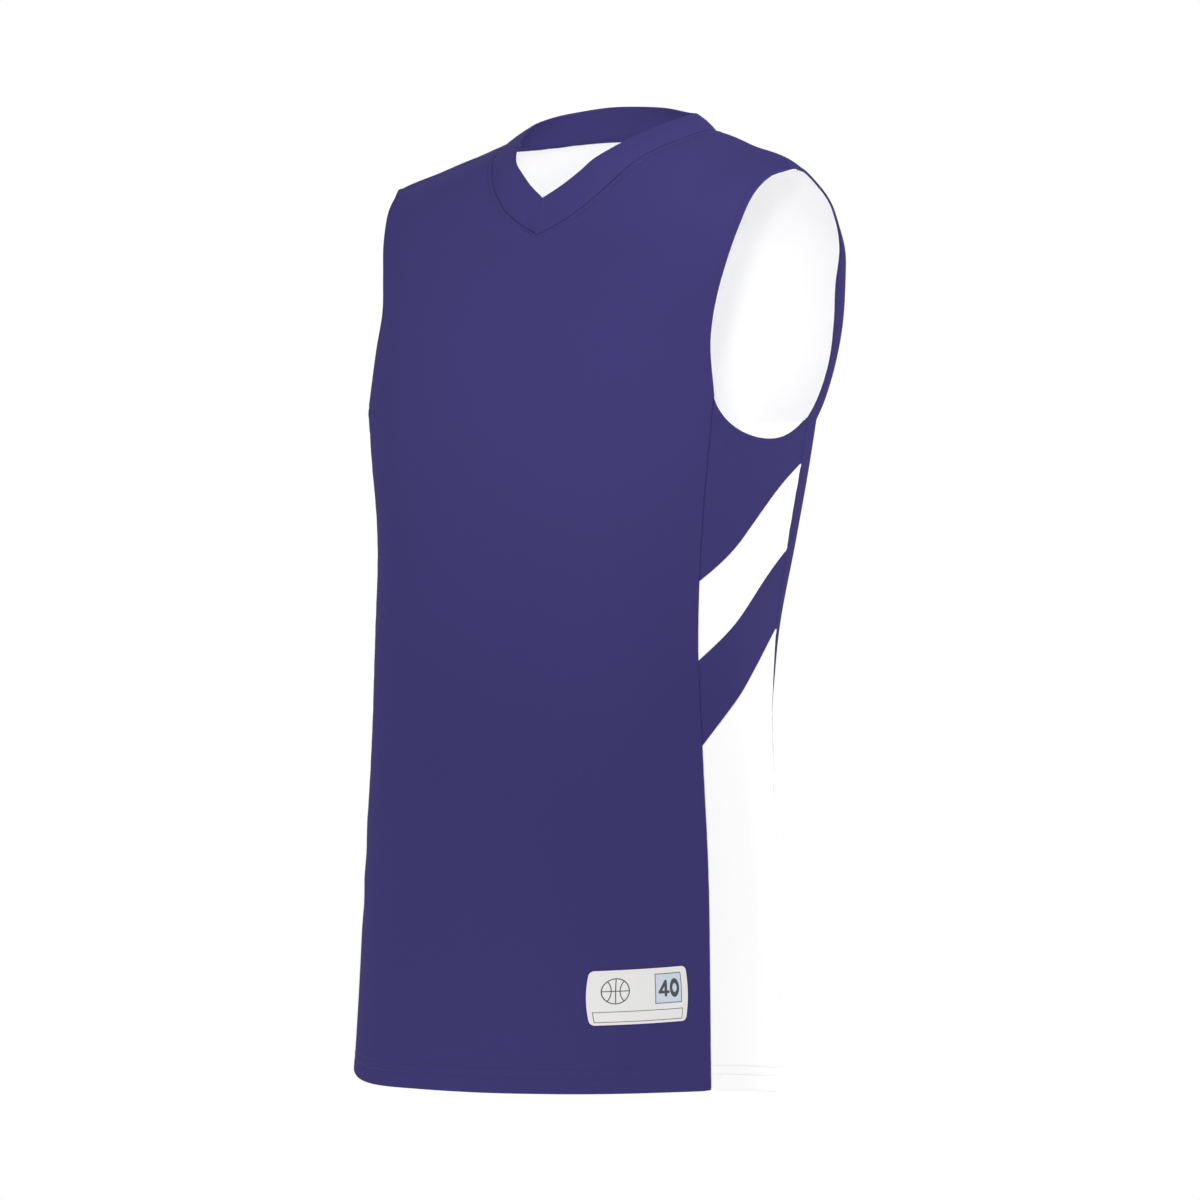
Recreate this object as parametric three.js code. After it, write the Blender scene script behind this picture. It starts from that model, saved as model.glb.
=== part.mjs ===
// Sleeveless basketball jersey with a V collar band, standing open as if it were worn.
// Millimetres, +Z up, +X on the wearer's left, -Y at the front. The origin lies between the shoulders,
// where a wearer carries the garment, so the body of the jersey hangs below it.
import * as THREE from 'three';

// Driving dimensions
const CLOTH = 1.5;            // wall of the double-faced knit
const BAND_CLOTH = 2.2;       // wall of the collar band, which is folded double
const LABEL_CLOTH = 1.0;      // wall of the woven label
const SEAM_GAP = 0.3;         // clear space between two sewn pieces
const BAND_ROLL = 1.2;        // how far the collar band rounds out between its two edges

// Rows and columns of the cloth's grids
const LOWER_ROWS = 24;
const CHEST_ROWS = 7;
const BLADE_ROWS = 10;
const V_ROWS = 9;
const NAPE_ROWS = 8;
const HALF_COLUMNS = 10;
const SIDE_COLUMNS = 9;
const BAND_COLUMNS = 4;
const LABEL_COLUMNS = 8;
const LABEL_ROWS = 4;

// Colours, roughness and metalness of the two knits and of the label
const PURPLE_KNIT = { color: 0x403b72, roughness: 0.85, metalness: 0 };
const WHITE_KNIT = { color: 0xf2f2f4, roughness: 0.85, metalness: 0 };
const WOVEN_LABEL = { color: 0xe5e3df, roughness: 0.7, metalness: 0 };

const UP = new THREE.Vector3(0, 0, 1);
const radians = THREE.MathUtils.degToRad;
const lerp = THREE.MathUtils.lerp;

// Turns rows of values into objects that have a name for each column.
function table(columns, rows) {
  return rows.map((row) => Object.fromEntries(columns.map((name, i) => [name, row[i]])));
}

// The general figure that the cloth is cut for: one row for each section, from the front hem over the
// shoulder to the back hem. A section is half of the figure, from the centre line out to the side seam
// or armhole. The turn is the section's direction at its outer end seen from above, the drop is how
// steeply it falls there, and the two fulnesses are how far it keeps its direction at either end.
const FIGURE = table(
  ['level', 'centreY', 'centreZ', 'edgeX', 'edgeY', 'edgeZ', 'turn', 'drop', 'innerFull', 'outerFull'],
  [
    ['front hem', -176, -721.5, 160, -101, -719, 62, 0, 98, 45],
    ['front thigh', -172, -650, 157.5, -98, -650, 61, 0, 96, 43],
    ['front hip', -166, -560, 154.5, -95.5, -560, 60, 0, 93, 41],
    ['front belly', -159, -470, 149, -94.5, -470, 59, 0, 90, 39],
    ['front waist', -154, -390, 145.5, -95, -390, 59, 0, 88, 38],
    ['front ribs', -149, -310, 146, -91, -310, 56, 0, 88, 37],
    ['front chest', -143, -250, 151, -90, -250, 52, 0, 89, 36],
    ['front armpit', -136, -207, 155, -88, -207, 50, 0, 90, 35],
    ['low chest', -127, -165, 150.5, -86, -163, 47, 0, 88, 33],
    ['mid chest', -118, -134, 150.5, -78, -133, 43, 1, 88, 33],
    ['high chest', -106, -106, 155, -71, -105, 39, 2, 88, 34],
    ['V point', -90, -80, 160.5, -63, -79, 33, 4, 86, 36],
    ['collarbone', -80, -56, 165, -52, -56, 24, 8, 80, 40],
    ['neck front', -57, -22, 170, -34, -39, 8, 14, 74, 46],
    ['neck side', -18, 3, 177, -20, -33, -8, 18, 70, 52],
    ['shoulder', 28, 15, 182, -8, -30, -18, 25, 68, 56],
    ['behind shoulder', 50, 12, 176.5, 16, -34, -28, 29, 70, 54],
    ['back neck', 66, 8, 177, 42, -48, -44, 23, 76, 50],
    ['back yoke', 89, -20, 169.5, 68, -66, -63, 13, 84, 50],
    ['upper blade', 112, -60, 163, 86, -88, -80, 6, 92, 59],
    ['blade', 127, -104, 159, 91, -114, -86, 2, 98, 65],
    ['lower blade', 131, -142, 157.5, 91, -143, -84, 0, 100, 62],
    ['back ribs', 128, -180, 158.5, 81, -174, -80, 0, 103, 56],
    ['back hollow', 122, -205, 166, 48, -205, -80, 0, 108, 56],
    ['back armpit', 117, -219, 172, 23, -219, -82, 0, 110, 56],
    ['back chest', 104, -258, 168.5, 17, -258, -82, 0, 108, 57],
    ['back waistline', 90, -310, 160, 14, -310, -82, 0, 102, 56],
    ['back waist', 76, -390, 150, 11, -390, -75, 0, 94, 46],
    ['back belly', 74, -470, 151, 6, -470, -70, 0, 94, 44],
    ['back hip', 73, -560, 155, 2, -560, -68, 0, 97, 45],
    ['back thigh', 69, -650, 158, 0, -650, -67, 0, 99, 45],
    ['back hem', 66, -723, 160, -2, -720, -66, 0, 100, 45],
  ],
);

// The neckline seen from above, from the V point to the centre of the back, and the fold at the top of
// the collar band above each of its points. The tilt is how much the fold sinks on the wearer's left
// and rises on the right.
const NECKLINE = table(
  ['place', 'seamX', 'seamY', 'foldX', 'foldY', 'foldZ', 'tilt'],
  [
    ['V point', 0, -90, 0, -83, -51.3, 0],
    ['low V', 30, -85, 14, -77, -41.5, 0],
    ['mid V', 44, -77, 26, -71, -31, 0],
    ['high V', 55, -67, 35, -66, -22, 0],
    ['top of V', 65, -53, 43, -54, -13.5, 0],
    ['throat', 75, -34, 53.5, -34, -3.3, -1],
    ['neck side', 85, -6, 65.5, -4, 9, -1.2],
    ['shoulder', 88, 20, 71, 18, 16.5, 0],
    ['behind shoulder', 80, 43, 65, 37, 21.5, 2],
    ['nape side', 60, 57, 50, 50, 25, 2.8],
    ['nape', 30, 64, 26, 57, 29, 1.6],
    ['centre back', 0, 66, 0, 59, 30, 0],
  ],
);

// The lower edge of the armhole on the side panel: a curve of four control points, given by how far
// across the panel they lie and by their height.
const ARMHOLE_BOTTOM = table(
  ['across', 'height'],
  [
    [0, -207],
    [0.1, -241],
    [0.54, -247],
    [1, -219],
  ],
);

// The sewn joins between the side panel's colour blocks, at the front seam and at the back seam, and
// how far each bows up between them.
const STRIPE_JOINS = {
  upperTop: { front: -343, back: -253, bow: 3 },
  upperBottom: { front: -402, back: -319, bow: 2 },
  lowerBottom: { front: -465, back: -378, bow: 7 },
};

// How sharply the side panel leaves the front seam, against the front panel's own direction there, as
// the lower body of the jersey flares: nothing at the armpit and the whole angle at the hem.
const SIDE_FLARE = 22;
const SIDE_FLARE_START = -400;
const SIDE_FULNESS = 0.37;

// The largest soft folds. Around counts from the centre of the front, 0, over the front seam, 1, and
// the back seam, 2, to the centre of the back, 3; a negative side is the wearer's right.
const FOLDS = table(
  ['side', 'around', 'height', 'tilt', 'length', 'width', 'depth'],
  [
    [-1, 1.02, -222, 90, 42, 40, 1.2],
    [-1, 0.62, -545, 8, 62, 13, -1.6],
    [-1, 0.55, -585, 4, 70, 14, -1.8],
    [1, 0.35, -480, -70, 150, 34, -2.2],
    [-1, 0.3, -420, 76, 170, 38, -2.0],
    [1, 1.45, -560, -84, 130, 20, 2.6],
    [-1, 1.5, -540, 84, 140, 21, 3.0],
    [1, 2.5, -430, 12, 80, 20, -2.4],
    [-1, 2.45, -470, -14, 90, 22, -2.6],
    [1, 2.6, -600, -72, 120, 30, 2.4],
    [-1, 2.7, -610, 75, 110, 30, 2.2],
  ],
);
const BACK_CENTRE = 3;
const AROUND_SPAN = 150;      // millimetres of cloth to one step of around

// The corners of the label on the left half of the front panel, and how far its short sides bow out
// between them, as a part of the width of the half panel.
const LABEL_CORNERS = table(
  ['corner', 'across', 'height'],
  [
    ['bottom inner', 0.393, -670.3],
    ['bottom outer', 0.847, -667.3],
    ['top inner', 0.389, -631],
    ['top outer', 0.843, -627],
  ],
);
const LABEL_BOW = 0.014;

// A smooth curve through numbers that stand at uneven stations, with a corner where it is told to.
class Track {
  constructor(stations, values, corners = []) {
    this.stations = stations;
    this.values = values;
    const step = stations.slice(1).map((s, i) => s - stations[i]);
    const slope = step.map((d, i) => (values[i + 1] - values[i]) / d);
    const smooth = (i) =>
      (step[i] * slope[i - 1] + step[i - 1] * slope[i]) / (step[i - 1] + step[i]);
    const isEnd = (i) => i === 0 || i === slope.length || corners.includes(i);
    this.leaving = slope.map((own, i) => (isEnd(i) ? own : smooth(i)));
    this.arriving = slope.map((own, i) => (isEnd(i + 1) ? own : smooth(i + 1)));
  }

  at(station) {
    const last = this.stations.length - 2;
    let i = 0;
    while (i < last && station > this.stations[i + 1]) i += 1;
    const width = this.stations[i + 1] - this.stations[i];
    const t = (station - this.stations[i]) / width;
    const t2 = t * t;
    const t3 = t2 * t;
    return (
      (2 * t3 - 3 * t2 + 1) * this.values[i] +
      (t3 - 2 * t2 + t) * width * this.leaving[i] +
      (3 * t2 - 2 * t3) * this.values[i + 1] +
      (t3 - t2) * width * this.arriving[i]
    );
  }
}

// A smooth curve in space, station by station.
class Rail {
  constructor(stations, points, corners) {
    this.tracks = ['x', 'y', 'z'].map((axis) => {
      const values = points.map((p) => p[axis]);
      return new Track(stations, values, corners);
    });
  }

  at(station) {
    return new THREE.Vector3(...this.tracks.map((track) => track.at(station)));
  }
}

function bezier(a, b, c, d, t) {
  const r = 1 - t;
  return a * r * r * r + 3 * b * r * r * t + 3 * c * r * t * t + d * t * t * t;
}

function bezierPoint(ends, t) {
  const [a, b, c, d] = ends;
  return new THREE.Vector3(
    bezier(a.x, b.x, c.x, d.x, t),
    bezier(a.y, b.y, c.y, d.y, t),
    bezier(a.z, b.z, c.z, d.z, t),
  );
}

// The four control points of one section of the figure.
function sectionControls(row) {
  const centre = new THREE.Vector3(0, row.centreY, row.centreZ);
  const edge = new THREE.Vector3(row.edgeX, row.edgeY, row.edgeZ);
  const turn = radians(row.turn);
  const drop = radians(row.drop);
  const outward = new THREE.Vector3(
    Math.cos(turn) * Math.cos(drop),
    Math.sin(turn) * Math.cos(drop),
    -Math.sin(drop),
  );
  const inner = centre.clone();
  inner.x += row.innerFull;
  return [centre, inner, edge.clone().addScaledVector(outward, -row.outerFull), edge];
}

const controls = FIGURE.map(sectionControls);
const stations = [0];
for (let i = 1; i < controls.length; i += 1) {
  const inner = controls[i][0].distanceTo(controls[i - 1][0]);
  const outer = controls[i][3].distanceTo(controls[i - 1][3]);
  stations.push(stations[i - 1] + (inner + outer) / 2);
}

// The outer end of the sections has a corner at either armpit, where the seam meets the armhole.
const rowOf = (level) => FIGURE.findIndex((row) => row.level === level);
const armpits = [rowOf('front armpit'), rowOf('back armpit')];
const rails = [[], [], armpits, armpits].map((corners, k) => {
  const points = controls.map((row) => row[k]);
  return new Rail(stations, points, corners);
});
const stationOf = (level) => stations[rowOf(level)];

const FRONT_HEM = stationOf('front hem');
const FRONT_ARMPIT = stationOf('front armpit');
const V_POINT = stationOf('V point');
const SHOULDER = stationOf('shoulder');
const BACK_NECK = stationOf('back neck');
const BACK_ARMPIT = stationOf('back armpit');
const BACK_HEM = stationOf('back hem');

// A point of the figure, across from 0 at the centre to 1 at the outer end.
function figurePoint(across, station) {
  return bezierPoint(rails.map((rail) => rail.at(station)), across);
}

// The depth of the soft folds at a place of the cloth.
function foldDepth(side, around, height) {
  let depth = 0;
  for (const fold of FOLDS) {
    let steps = side * around - fold.side * fold.around;
    if (Math.abs(steps) > BACK_CENTRE) steps -= Math.sign(steps) * 2 * BACK_CENTRE;
    const over = steps * AROUND_SPAN;
    const up = height - fold.height;
    const tilt = radians(fold.tilt);
    const along = over * Math.cos(tilt) + up * Math.sin(tilt);
    const aside = up * Math.cos(tilt) - over * Math.sin(tilt);
    depth += fold.depth * Math.exp(-((along / fold.length) ** 2) - (aside / fold.width) ** 2);
  }
  return depth;
}

// The unit normal of a surface at (a, b), by small steps in a and in b.
function normalOf(surface, a, b) {
  const small = 1e-3;
  const alongA = surface(a + small, b).sub(surface(a - small, b));
  const alongB = surface(a, b + 1).sub(surface(a, b - 1));
  return alongA.cross(alongB).normalize();
}

// A point and outward normal of the front or back, with its folds. The half is drawn on the wearer's
// left, and the side says whose folds it takes.
function bodyVertex(across, station, side) {
  const folded = (a, s) => {
    const around = station <= SHOULDER ? a : BACK_CENTRE - a;
    const p = figurePoint(a, s);
    return p.addScaledVector(normalOf(figurePoint, a, s), foldDepth(side, around, p.z));
  };
  return { p: folded(across, station), n: normalOf(folded, across, station) };
}

// Finds the station between two others at which the figure's outer edge has the given height.
function stationAtHeight(height, lowest, highest) {
  let low = lowest;
  let high = highest;
  for (let i = 0; i < 40; i += 1) {
    const middle = (low + high) / 2;
    if (rails[3].at(middle).z < height) low = middle;
    else high = middle;
  }
  return (low + high) / 2;
}

// The direction in which the figure's section leaves its outer end.
function edgeDirection(station) {
  return rails[3].at(station).sub(rails[2].at(station)).normalize();
}

const frontHem = rails[3].at(FRONT_HEM).z;
const frontArmpit = rails[3].at(FRONT_ARMPIT).z;
const backHem = rails[3].at(BACK_HEM).z;
const backArmpit = rails[3].at(BACK_ARMPIT).z;

// A point of the side panel: across from the front seam, 0, to the back seam, 1, and up from the hem,
// 0, to the line between the tops of the two seams, 1.
function sidePoint(across, up) {
  const height = lerp(frontHem, frontArmpit, up);
  const frontStation = stationAtHeight(height, FRONT_HEM, FRONT_ARMPIT);
  const backStation = stationAtHeight(lerp(backHem, backArmpit, up), BACK_HEM, BACK_ARMPIT);
  const front = rails[3].at(frontStation);
  const back = rails[3].at(backStation);
  const flare = SIDE_FLARE * THREE.MathUtils.smoothstep(-height, -SIDE_FLARE_START, -frontHem);
  const leaving = edgeDirection(frontStation).applyAxisAngle(UP, -radians(flare));
  const arriving = edgeDirection(backStation);
  const reach = front.distanceTo(back) * SIDE_FULNESS;
  const first = front.clone().addScaledVector(leaving, reach);
  const second = back.clone().addScaledVector(arriving, reach);
  return bezierPoint([front, first, second, back], across);
}

function sideVertex(across, up, side) {
  const steps = frontArmpit - frontHem;
  const bare = (a, b) => sidePoint(a, b / steps);
  const folded = (a, b) => {
    const p = bare(a, b);
    return p.addScaledVector(normalOf(bare, a, b), foldDepth(side, 1 + a, p.z));
  };
  return { p: folded(across, up * steps), n: normalOf(folded, across, up * steps) };
}

// A sheet of cloth: vertices with normals, and quads that face outwards.
class Sheet {
  constructor() {
    this.vertices = [];
    this.quads = [];
  }

  // Adds a grid of vertices whose columns run across and whose rows run up, as seen from outside. On
  // the wearer's right it is the mirror of the one that is drawn, and turned grids run the other way.
  addGrid(rows, side, turned = false) {
    const numbers = rows.map((row) =>
      row.map(({ p, n }) => {
        this.vertices.push({
          p: new THREE.Vector3(p.x * side, p.y, p.z),
          n: new THREE.Vector3(n.x * side, n.y, n.z),
        });
        return this.vertices.length - 1;
      }),
    );
    for (let i = 0; i + 1 < rows.length; i += 1) {
      for (let j = 0; j + 1 < rows[i].length; j += 1) {
        const quad = [numbers[i][j], numbers[i][j + 1], numbers[i + 1][j + 1], numbers[i + 1][j]];
        if (side < 0 !== turned) quad.reverse();
        this.quads.push(quad);
      }
    }
  }

  // Joins vertices that lie on each other.
  weld() {
    const seen = new Map();
    const kept = [];
    const target = this.vertices.map(({ p, n }) => {
      const key = p.toArray().map((value) => Math.round(value * 1e3)).join(' ');
      if (seen.has(key)) {
        kept[seen.get(key)].n.add(n);
      } else {
        seen.set(key, kept.length);
        kept.push({ p, n: n.clone() });
      }
      return seen.get(key);
    });
    kept.forEach((vertex) => vertex.n.normalize());
    this.vertices = kept;
    this.quads = this.quads.map((quad) => quad.map((i) => target[i]));
  }

  // Closes the sheet into a wall whose outer face is the sheet, moved out by a lift.
  wall(thickness, lift = 0) {
    this.weld();
    const count = this.vertices.length;
    const positions = [];
    for (const depth of [lift, lift - thickness]) {
      for (const { p, n } of this.vertices) {
        positions.push(...p.clone().addScaledVector(n, depth).toArray());
      }
    }
    const index = [];
    const edges = new Map();
    for (const [a, b, c, d] of this.quads) {
      index.push(a, b, c, a, c, d);
      index.push(count + a, count + c, count + b, count + a, count + d, count + c);
      for (const [from, to] of [[a, b], [b, c], [c, d], [d, a]]) {
        if (edges.has(`${to} ${from}`)) edges.delete(`${to} ${from}`);
        else edges.set(`${from} ${to}`, [from, to]);
      }
    }
    for (const [from, to] of edges.values()) {
      index.push(from, count + from, count + to, from, count + to, to);
    }
    const geometry = new THREE.BufferGeometry();
    geometry.setAttribute('position', new THREE.Float32BufferAttribute(positions, 3));
    geometry.setIndex(index);
    geometry.computeVertexNormals();
    return geometry;
  }
}

// Draws the edges of a grid that are seams back by half of the gap between two pieces. Each pull names
// a vertex by row and column, and the step to the neighbour that it is drawn towards.
function drawBack(rows, pulls) {
  const moved = rows.map((row) => row.map(({ p, n }) => ({ p: p.clone(), n })));
  for (const [i, j, up, over] of pulls) {
    const towards = rows[i + up][j + over].p.clone().sub(rows[i][j].p).normalize();
    moved[i][j].p.addScaledVector(towards, SEAM_GAP / 2);
  }
  return moved;
}

function rangeOf(from, to) {
  return Array.from({ length: to - from + 1 }, (_, i) => from + i);
}

// Values spaced evenly along a straight line, from one list to another.
function line(count, from, to) {
  return rangeOf(0, count).map((i) => from.map((value, k) => lerp(value, to[k], i / count)));
}

// The place of the figure, across and station, that lies at the given x and y seen from above.
function placeFromAbove(x, y, guess) {
  let [across, station] = guess;
  const small = 1e-4;
  for (let i = 0; i < 30; i += 1) {
    const here = figurePoint(across, station);
    const byAcross = figurePoint(across + small, station).sub(here).divideScalar(small);
    const byStation = figurePoint(across, station + small).sub(here).divideScalar(small);
    const area = byAcross.x * byStation.y - byAcross.y * byStation.x;
    const missX = x - here.x;
    const missY = y - here.y;
    across += (missX * byStation.y - missY * byStation.x) / area;
    station += (missY * byAcross.x - missX * byAcross.y) / area;
  }
  return [across, station];
}

// The neckline's tracks run one place past the centre of the back, as its mirror, so that it is smooth
// there. At the V point it has its corner.
const neckRows = [...NECKLINE, { ...NECKLINE.at(-2) }];
neckRows.at(-1).seamX *= -1;
neckRows.at(-1).foldX *= -1;
neckRows.at(-1).tilt *= -1;
const neckIndex = neckRows.map((_, i) => i);
const neckSeam = new Rail(
  neckIndex,
  neckRows.map((row) => new THREE.Vector3(row.seamX, row.seamY, 0)),
);
const neckFold = new Rail(
  neckIndex,
  neckRows.map((row) => new THREE.Vector3(row.foldX, row.foldY, row.foldZ)),
);
const foldTilt = new Track(
  neckIndex,
  neckRows.map((row) => row.tilt),
);
const SHOULDER_PLACE = NECKLINE.findIndex((row) => row.place === 'shoulder');
const CENTRE_BACK_PLACE = NECKLINE.length - 1;

// The neckline's points from one of its ends to the shoulder, each with its place on the figure.
function neckPlaces(count, from) {
  let place = [0, from === 0 ? V_POINT : BACK_NECK];
  return rangeOf(0, count).map((i) => {
    const along = lerp(from, SHOULDER_PLACE, i / count);
    const { x, y } = neckSeam.at(along);
    place = placeFromAbove(x, y, place);
    return { along, place };
  });
}

const frontNeck = neckPlaces(V_ROWS, 0);
const backNeck = neckPlaces(NAPE_ROWS, CENTRE_BACK_PLACE);

// A grid of places between four lines of places that meet at its corners.
function blend(bottom, top, inner, outer) {
  const lastRow = inner.length - 1;
  const lastColumn = bottom.length - 1;
  return inner.map((_, i) => {
    const b = i / lastRow;
    return bottom.map((__, j) => {
      const a = j / lastColumn;
      return [0, 1].map((k) => {
        const sides = lerp(inner[i][k], outer[i][k], a) + lerp(bottom[j][k], top[j][k], b);
        const corners = lerp(
          lerp(bottom[0][k], bottom[lastColumn][k], a),
          lerp(top[0][k], top[lastColumn][k], a),
          b,
        );
        return sides - corners;
      });
    });
  });
}

// The front or back panel: a lower part from the hem to the armpit and an upper part up to the
// shoulder, drawn on both sides of the centre line.
function bodyPanel({ hem, armpit, neck, chestRows, isBack }) {
  const places = neck.map((point) => point.place);
  const shoulder = places.at(-1);
  const lower = line(LOWER_ROWS, [hem], [armpit]).map(([station]) =>
    line(HALF_COLUMNS, [0, station], [1, station]),
  );
  const upperRows = chestRows + places.length - 1;
  const upper = blend(
    line(HALF_COLUMNS, [0, armpit], [1, armpit]),
    line(HALF_COLUMNS, shoulder, [1, SHOULDER]),
    [...line(chestRows, [0, armpit], places[0]).slice(0, -1), ...places],
    line(upperRows, [1, armpit], [1, SHOULDER]),
  );
  const grid = [...lower, ...upper.slice(1)];
  const lastRow = grid.length - 1;
  const neckRow = LOWER_ROWS + chestRows;
  const pulls = [
    [neckRow, 0, -1, 0],
    ...rangeOf(neckRow + 1, lastRow).map((i) => [i, 0, 0, 1]),
    ...rangeOf(0, LOWER_ROWS).map((i) => [i, HALF_COLUMNS, 0, -1]),
    ...rangeOf(0, HALF_COLUMNS).map((j) => [lastRow, j, -1, 0]),
  ];
  const sheet = new Sheet();
  for (const side of [1, -1]) {
    const rows = grid.map((row) => row.map(([across, station]) => bodyVertex(across, station, side)));
    sheet.addGrid(drawBack(rows, pulls), side, isBack);
  }
  return sheet.wall(CLOTH);
}

const frontPanel = () =>
  bodyPanel({ hem: FRONT_HEM, armpit: FRONT_ARMPIT, neck: frontNeck, chestRows: CHEST_ROWS, isBack: false });
const backPanel = () =>
  bodyPanel({ hem: BACK_HEM, armpit: BACK_ARMPIT, neck: backNeck, chestRows: BLADE_ROWS, isBack: true });

// Where the columns of the side panel stand, closer together under the front of the arm.
const armholeCurve = (t, column) => bezier(...ARMHOLE_BOTTOM.map((row) => row[column]), t);
const sideColumns = rangeOf(0, SIDE_COLUMNS).map((j) => j / SIDE_COLUMNS);
const sideAcross = sideColumns.map((t) => armholeCurve(t, 'across'));

// How far up the side panel a height lies at one of its columns.
function upAt(column, height) {
  const across = sideAcross[column];
  const bottom = lerp(frontHem, backHem, across);
  return (height - bottom) / (lerp(frontArmpit, backArmpit, across) - bottom);
}

function stripeJoin({ front, back, bow }) {
  return sideAcross.map((across, j) =>
    upAt(j, lerp(front, back, across) + 4 * bow * across * (1 - across)),
  );
}

const sideHem = sideAcross.map(() => 0);
const sideTop = sideColumns.map((t, j) => upAt(j, armholeCurve(t, 'height')));

// One colour block of a side panel, between two lines across it.
function sideBlock(bottom, top, rowCount, side) {
  const grid = line(rowCount, bottom, top).map((ups) =>
    ups.map((up, j) => sideVertex(sideAcross[j], up, side)),
  );
  const columns = rangeOf(0, SIDE_COLUMNS);
  const pulls = [
    ...rangeOf(0, rowCount).flatMap((i) => [[i, 0, 0, 1], [i, SIDE_COLUMNS, 0, -1]]),
    ...(bottom === sideHem ? [] : columns.map((j) => [0, j, 1, 0])),
    ...(top === sideTop ? [] : columns.map((j) => [rowCount, j, -1, 0])),
  ];
  const sheet = new Sheet();
  sheet.addGrid(drawBack(grid, pulls), side);
  return sheet.wall(CLOTH);
}

const upperTop = stripeJoin(STRIPE_JOINS.upperTop);
const upperBottom = stripeJoin(STRIPE_JOINS.upperBottom);
const lowerBottom = stripeJoin(STRIPE_JOINS.lowerBottom);
const SIDE_BLOCKS = [
  { name: 'underarm', bottom: upperTop, top: sideTop, rows: 6, knit: PURPLE_KNIT },
  { name: 'upper_stripe', bottom: upperBottom, top: upperTop, rows: 4, knit: WHITE_KNIT },
  { name: 'lower_stripe', bottom: lowerBottom, top: upperBottom, rows: 4, knit: PURPLE_KNIT },
  { name: 'lower', bottom: sideHem, top: lowerBottom, rows: 13, knit: WHITE_KNIT },
];

// One half of the collar band: its columns stand on the neckline, and end at the fold at the top.
function bandRows(along, side) {
  const seams = along.map(({ place }) => figurePoint(...place));
  const folds = along.map((point) => {
    const fold = neckFold.at(point.along);
    fold.z -= side * foldTilt.at(point.along);
    return fold;
  });
  const lastPoint = along.length - 1;
  return along.map((_, i) => {
    const forward = seams[Math.min(i + 1, lastPoint)].clone().sub(seams[Math.max(i - 1, 0)]);
    if (i === lastPoint) forward.set(-1, 0, 0);
    const rise = folds[i].clone().sub(seams[i]);
    const outward = forward.cross(rise).normalize();
    return rangeOf(0, BAND_COLUMNS).map((j) => {
      const b = j / BAND_COLUMNS;
      const p = seams[i].clone().addScaledVector(rise, b);
      p.addScaledVector(outward, BAND_ROLL * 4 * b * (1 - b));
      return { p, n: outward.clone() };
    });
  });
}

// The collar band, whose two ends meet in a mitre below the V.
function collar() {
  const along = [...frontNeck, ...backNeck.slice(0, -1).reverse()];
  const pulls = [
    ...rangeOf(0, BAND_COLUMNS).map((j) => [0, j, 1, 0]),
    ...rangeOf(0, along.length - 1).map((i) => [i, 0, 0, 1]),
  ];
  const sheet = new Sheet();
  for (const side of [1, -1]) sheet.addGrid(drawBack(bandRows(along, side), pulls), side, true);
  return sheet.wall(BAND_CLOTH);
}

// The label lies on the front panel, made from the panel's own points and moved out.
function hipLabel() {
  const corner = (name) => LABEL_CORNERS.find((row) => row.corner === name);
  const placeOf = ({ across, height }) => [across, stationAtHeight(height, FRONT_HEM, FRONT_ARMPIT)];
  const edge = (from, to) => line(LABEL_COLUMNS, placeOf(corner(from)), placeOf(corner(to)));
  const bottom = edge('bottom inner', 'bottom outer');
  const top = edge('top inner', 'top outer');
  const grid = rangeOf(0, LABEL_ROWS).map((i) => {
    const b = i / LABEL_ROWS;
    return bottom.map((place, j) => {
      const [across, station] = place.map((value, k) => lerp(value, top[j][k], b));
      const outwards = (2 * j) / LABEL_COLUMNS - 1;
      return bodyVertex(across + LABEL_BOW * outwards * 4 * b * (1 - b), station, 1);
    });
  });
  const sheet = new Sheet();
  sheet.addGrid(grid, 1);
  return sheet.wall(LABEL_CLOTH, SEAM_GAP + LABEL_CLOTH);
}

function piece(name, geometry, finish) {
  const mesh = new THREE.Mesh(geometry, new THREE.MeshStandardMaterial(finish));
  mesh.name = name;
  return mesh;
}

const jersey = new THREE.Group();
jersey.add(piece('front_panel', frontPanel(), PURPLE_KNIT));
jersey.add(piece('back_panel', backPanel(), PURPLE_KNIT));
for (const [wearerSide, side] of [['left', 1], ['right', -1]]) {
  for (const { name, bottom, top, rows, knit } of SIDE_BLOCKS) {
    jersey.add(piece(`side_${wearerSide}_${name}`, sideBlock(bottom, top, rows, side), knit));
  }
}
jersey.add(piece('collar', collar(), PURPLE_KNIT));
jersey.add(piece('hip_label', hipLabel(), WOVEN_LABEL));

export default jersey;
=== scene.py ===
"""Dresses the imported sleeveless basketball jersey: knit panels, sewn seams, collar band, stitches and label."""

import logging
import math
from collections.abc import Callable, Sequence
from dataclasses import dataclass, field
from enum import Enum
from typing import Any

import bmesh
import bpy
import numpy as np
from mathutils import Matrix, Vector


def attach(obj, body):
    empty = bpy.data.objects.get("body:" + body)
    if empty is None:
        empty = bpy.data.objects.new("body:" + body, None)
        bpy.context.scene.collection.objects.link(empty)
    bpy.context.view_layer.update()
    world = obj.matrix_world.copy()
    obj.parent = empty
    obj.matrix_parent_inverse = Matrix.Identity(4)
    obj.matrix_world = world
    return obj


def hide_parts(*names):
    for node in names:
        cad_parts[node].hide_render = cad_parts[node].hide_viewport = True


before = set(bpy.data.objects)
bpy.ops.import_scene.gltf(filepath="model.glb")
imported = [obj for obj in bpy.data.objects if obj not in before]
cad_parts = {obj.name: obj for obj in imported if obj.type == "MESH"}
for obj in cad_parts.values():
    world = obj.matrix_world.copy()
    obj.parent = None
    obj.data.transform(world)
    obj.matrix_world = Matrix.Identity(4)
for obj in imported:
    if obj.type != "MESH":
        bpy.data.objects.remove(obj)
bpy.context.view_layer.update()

LOG = logging.getLogger("jersey")
MM = 0.001
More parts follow.
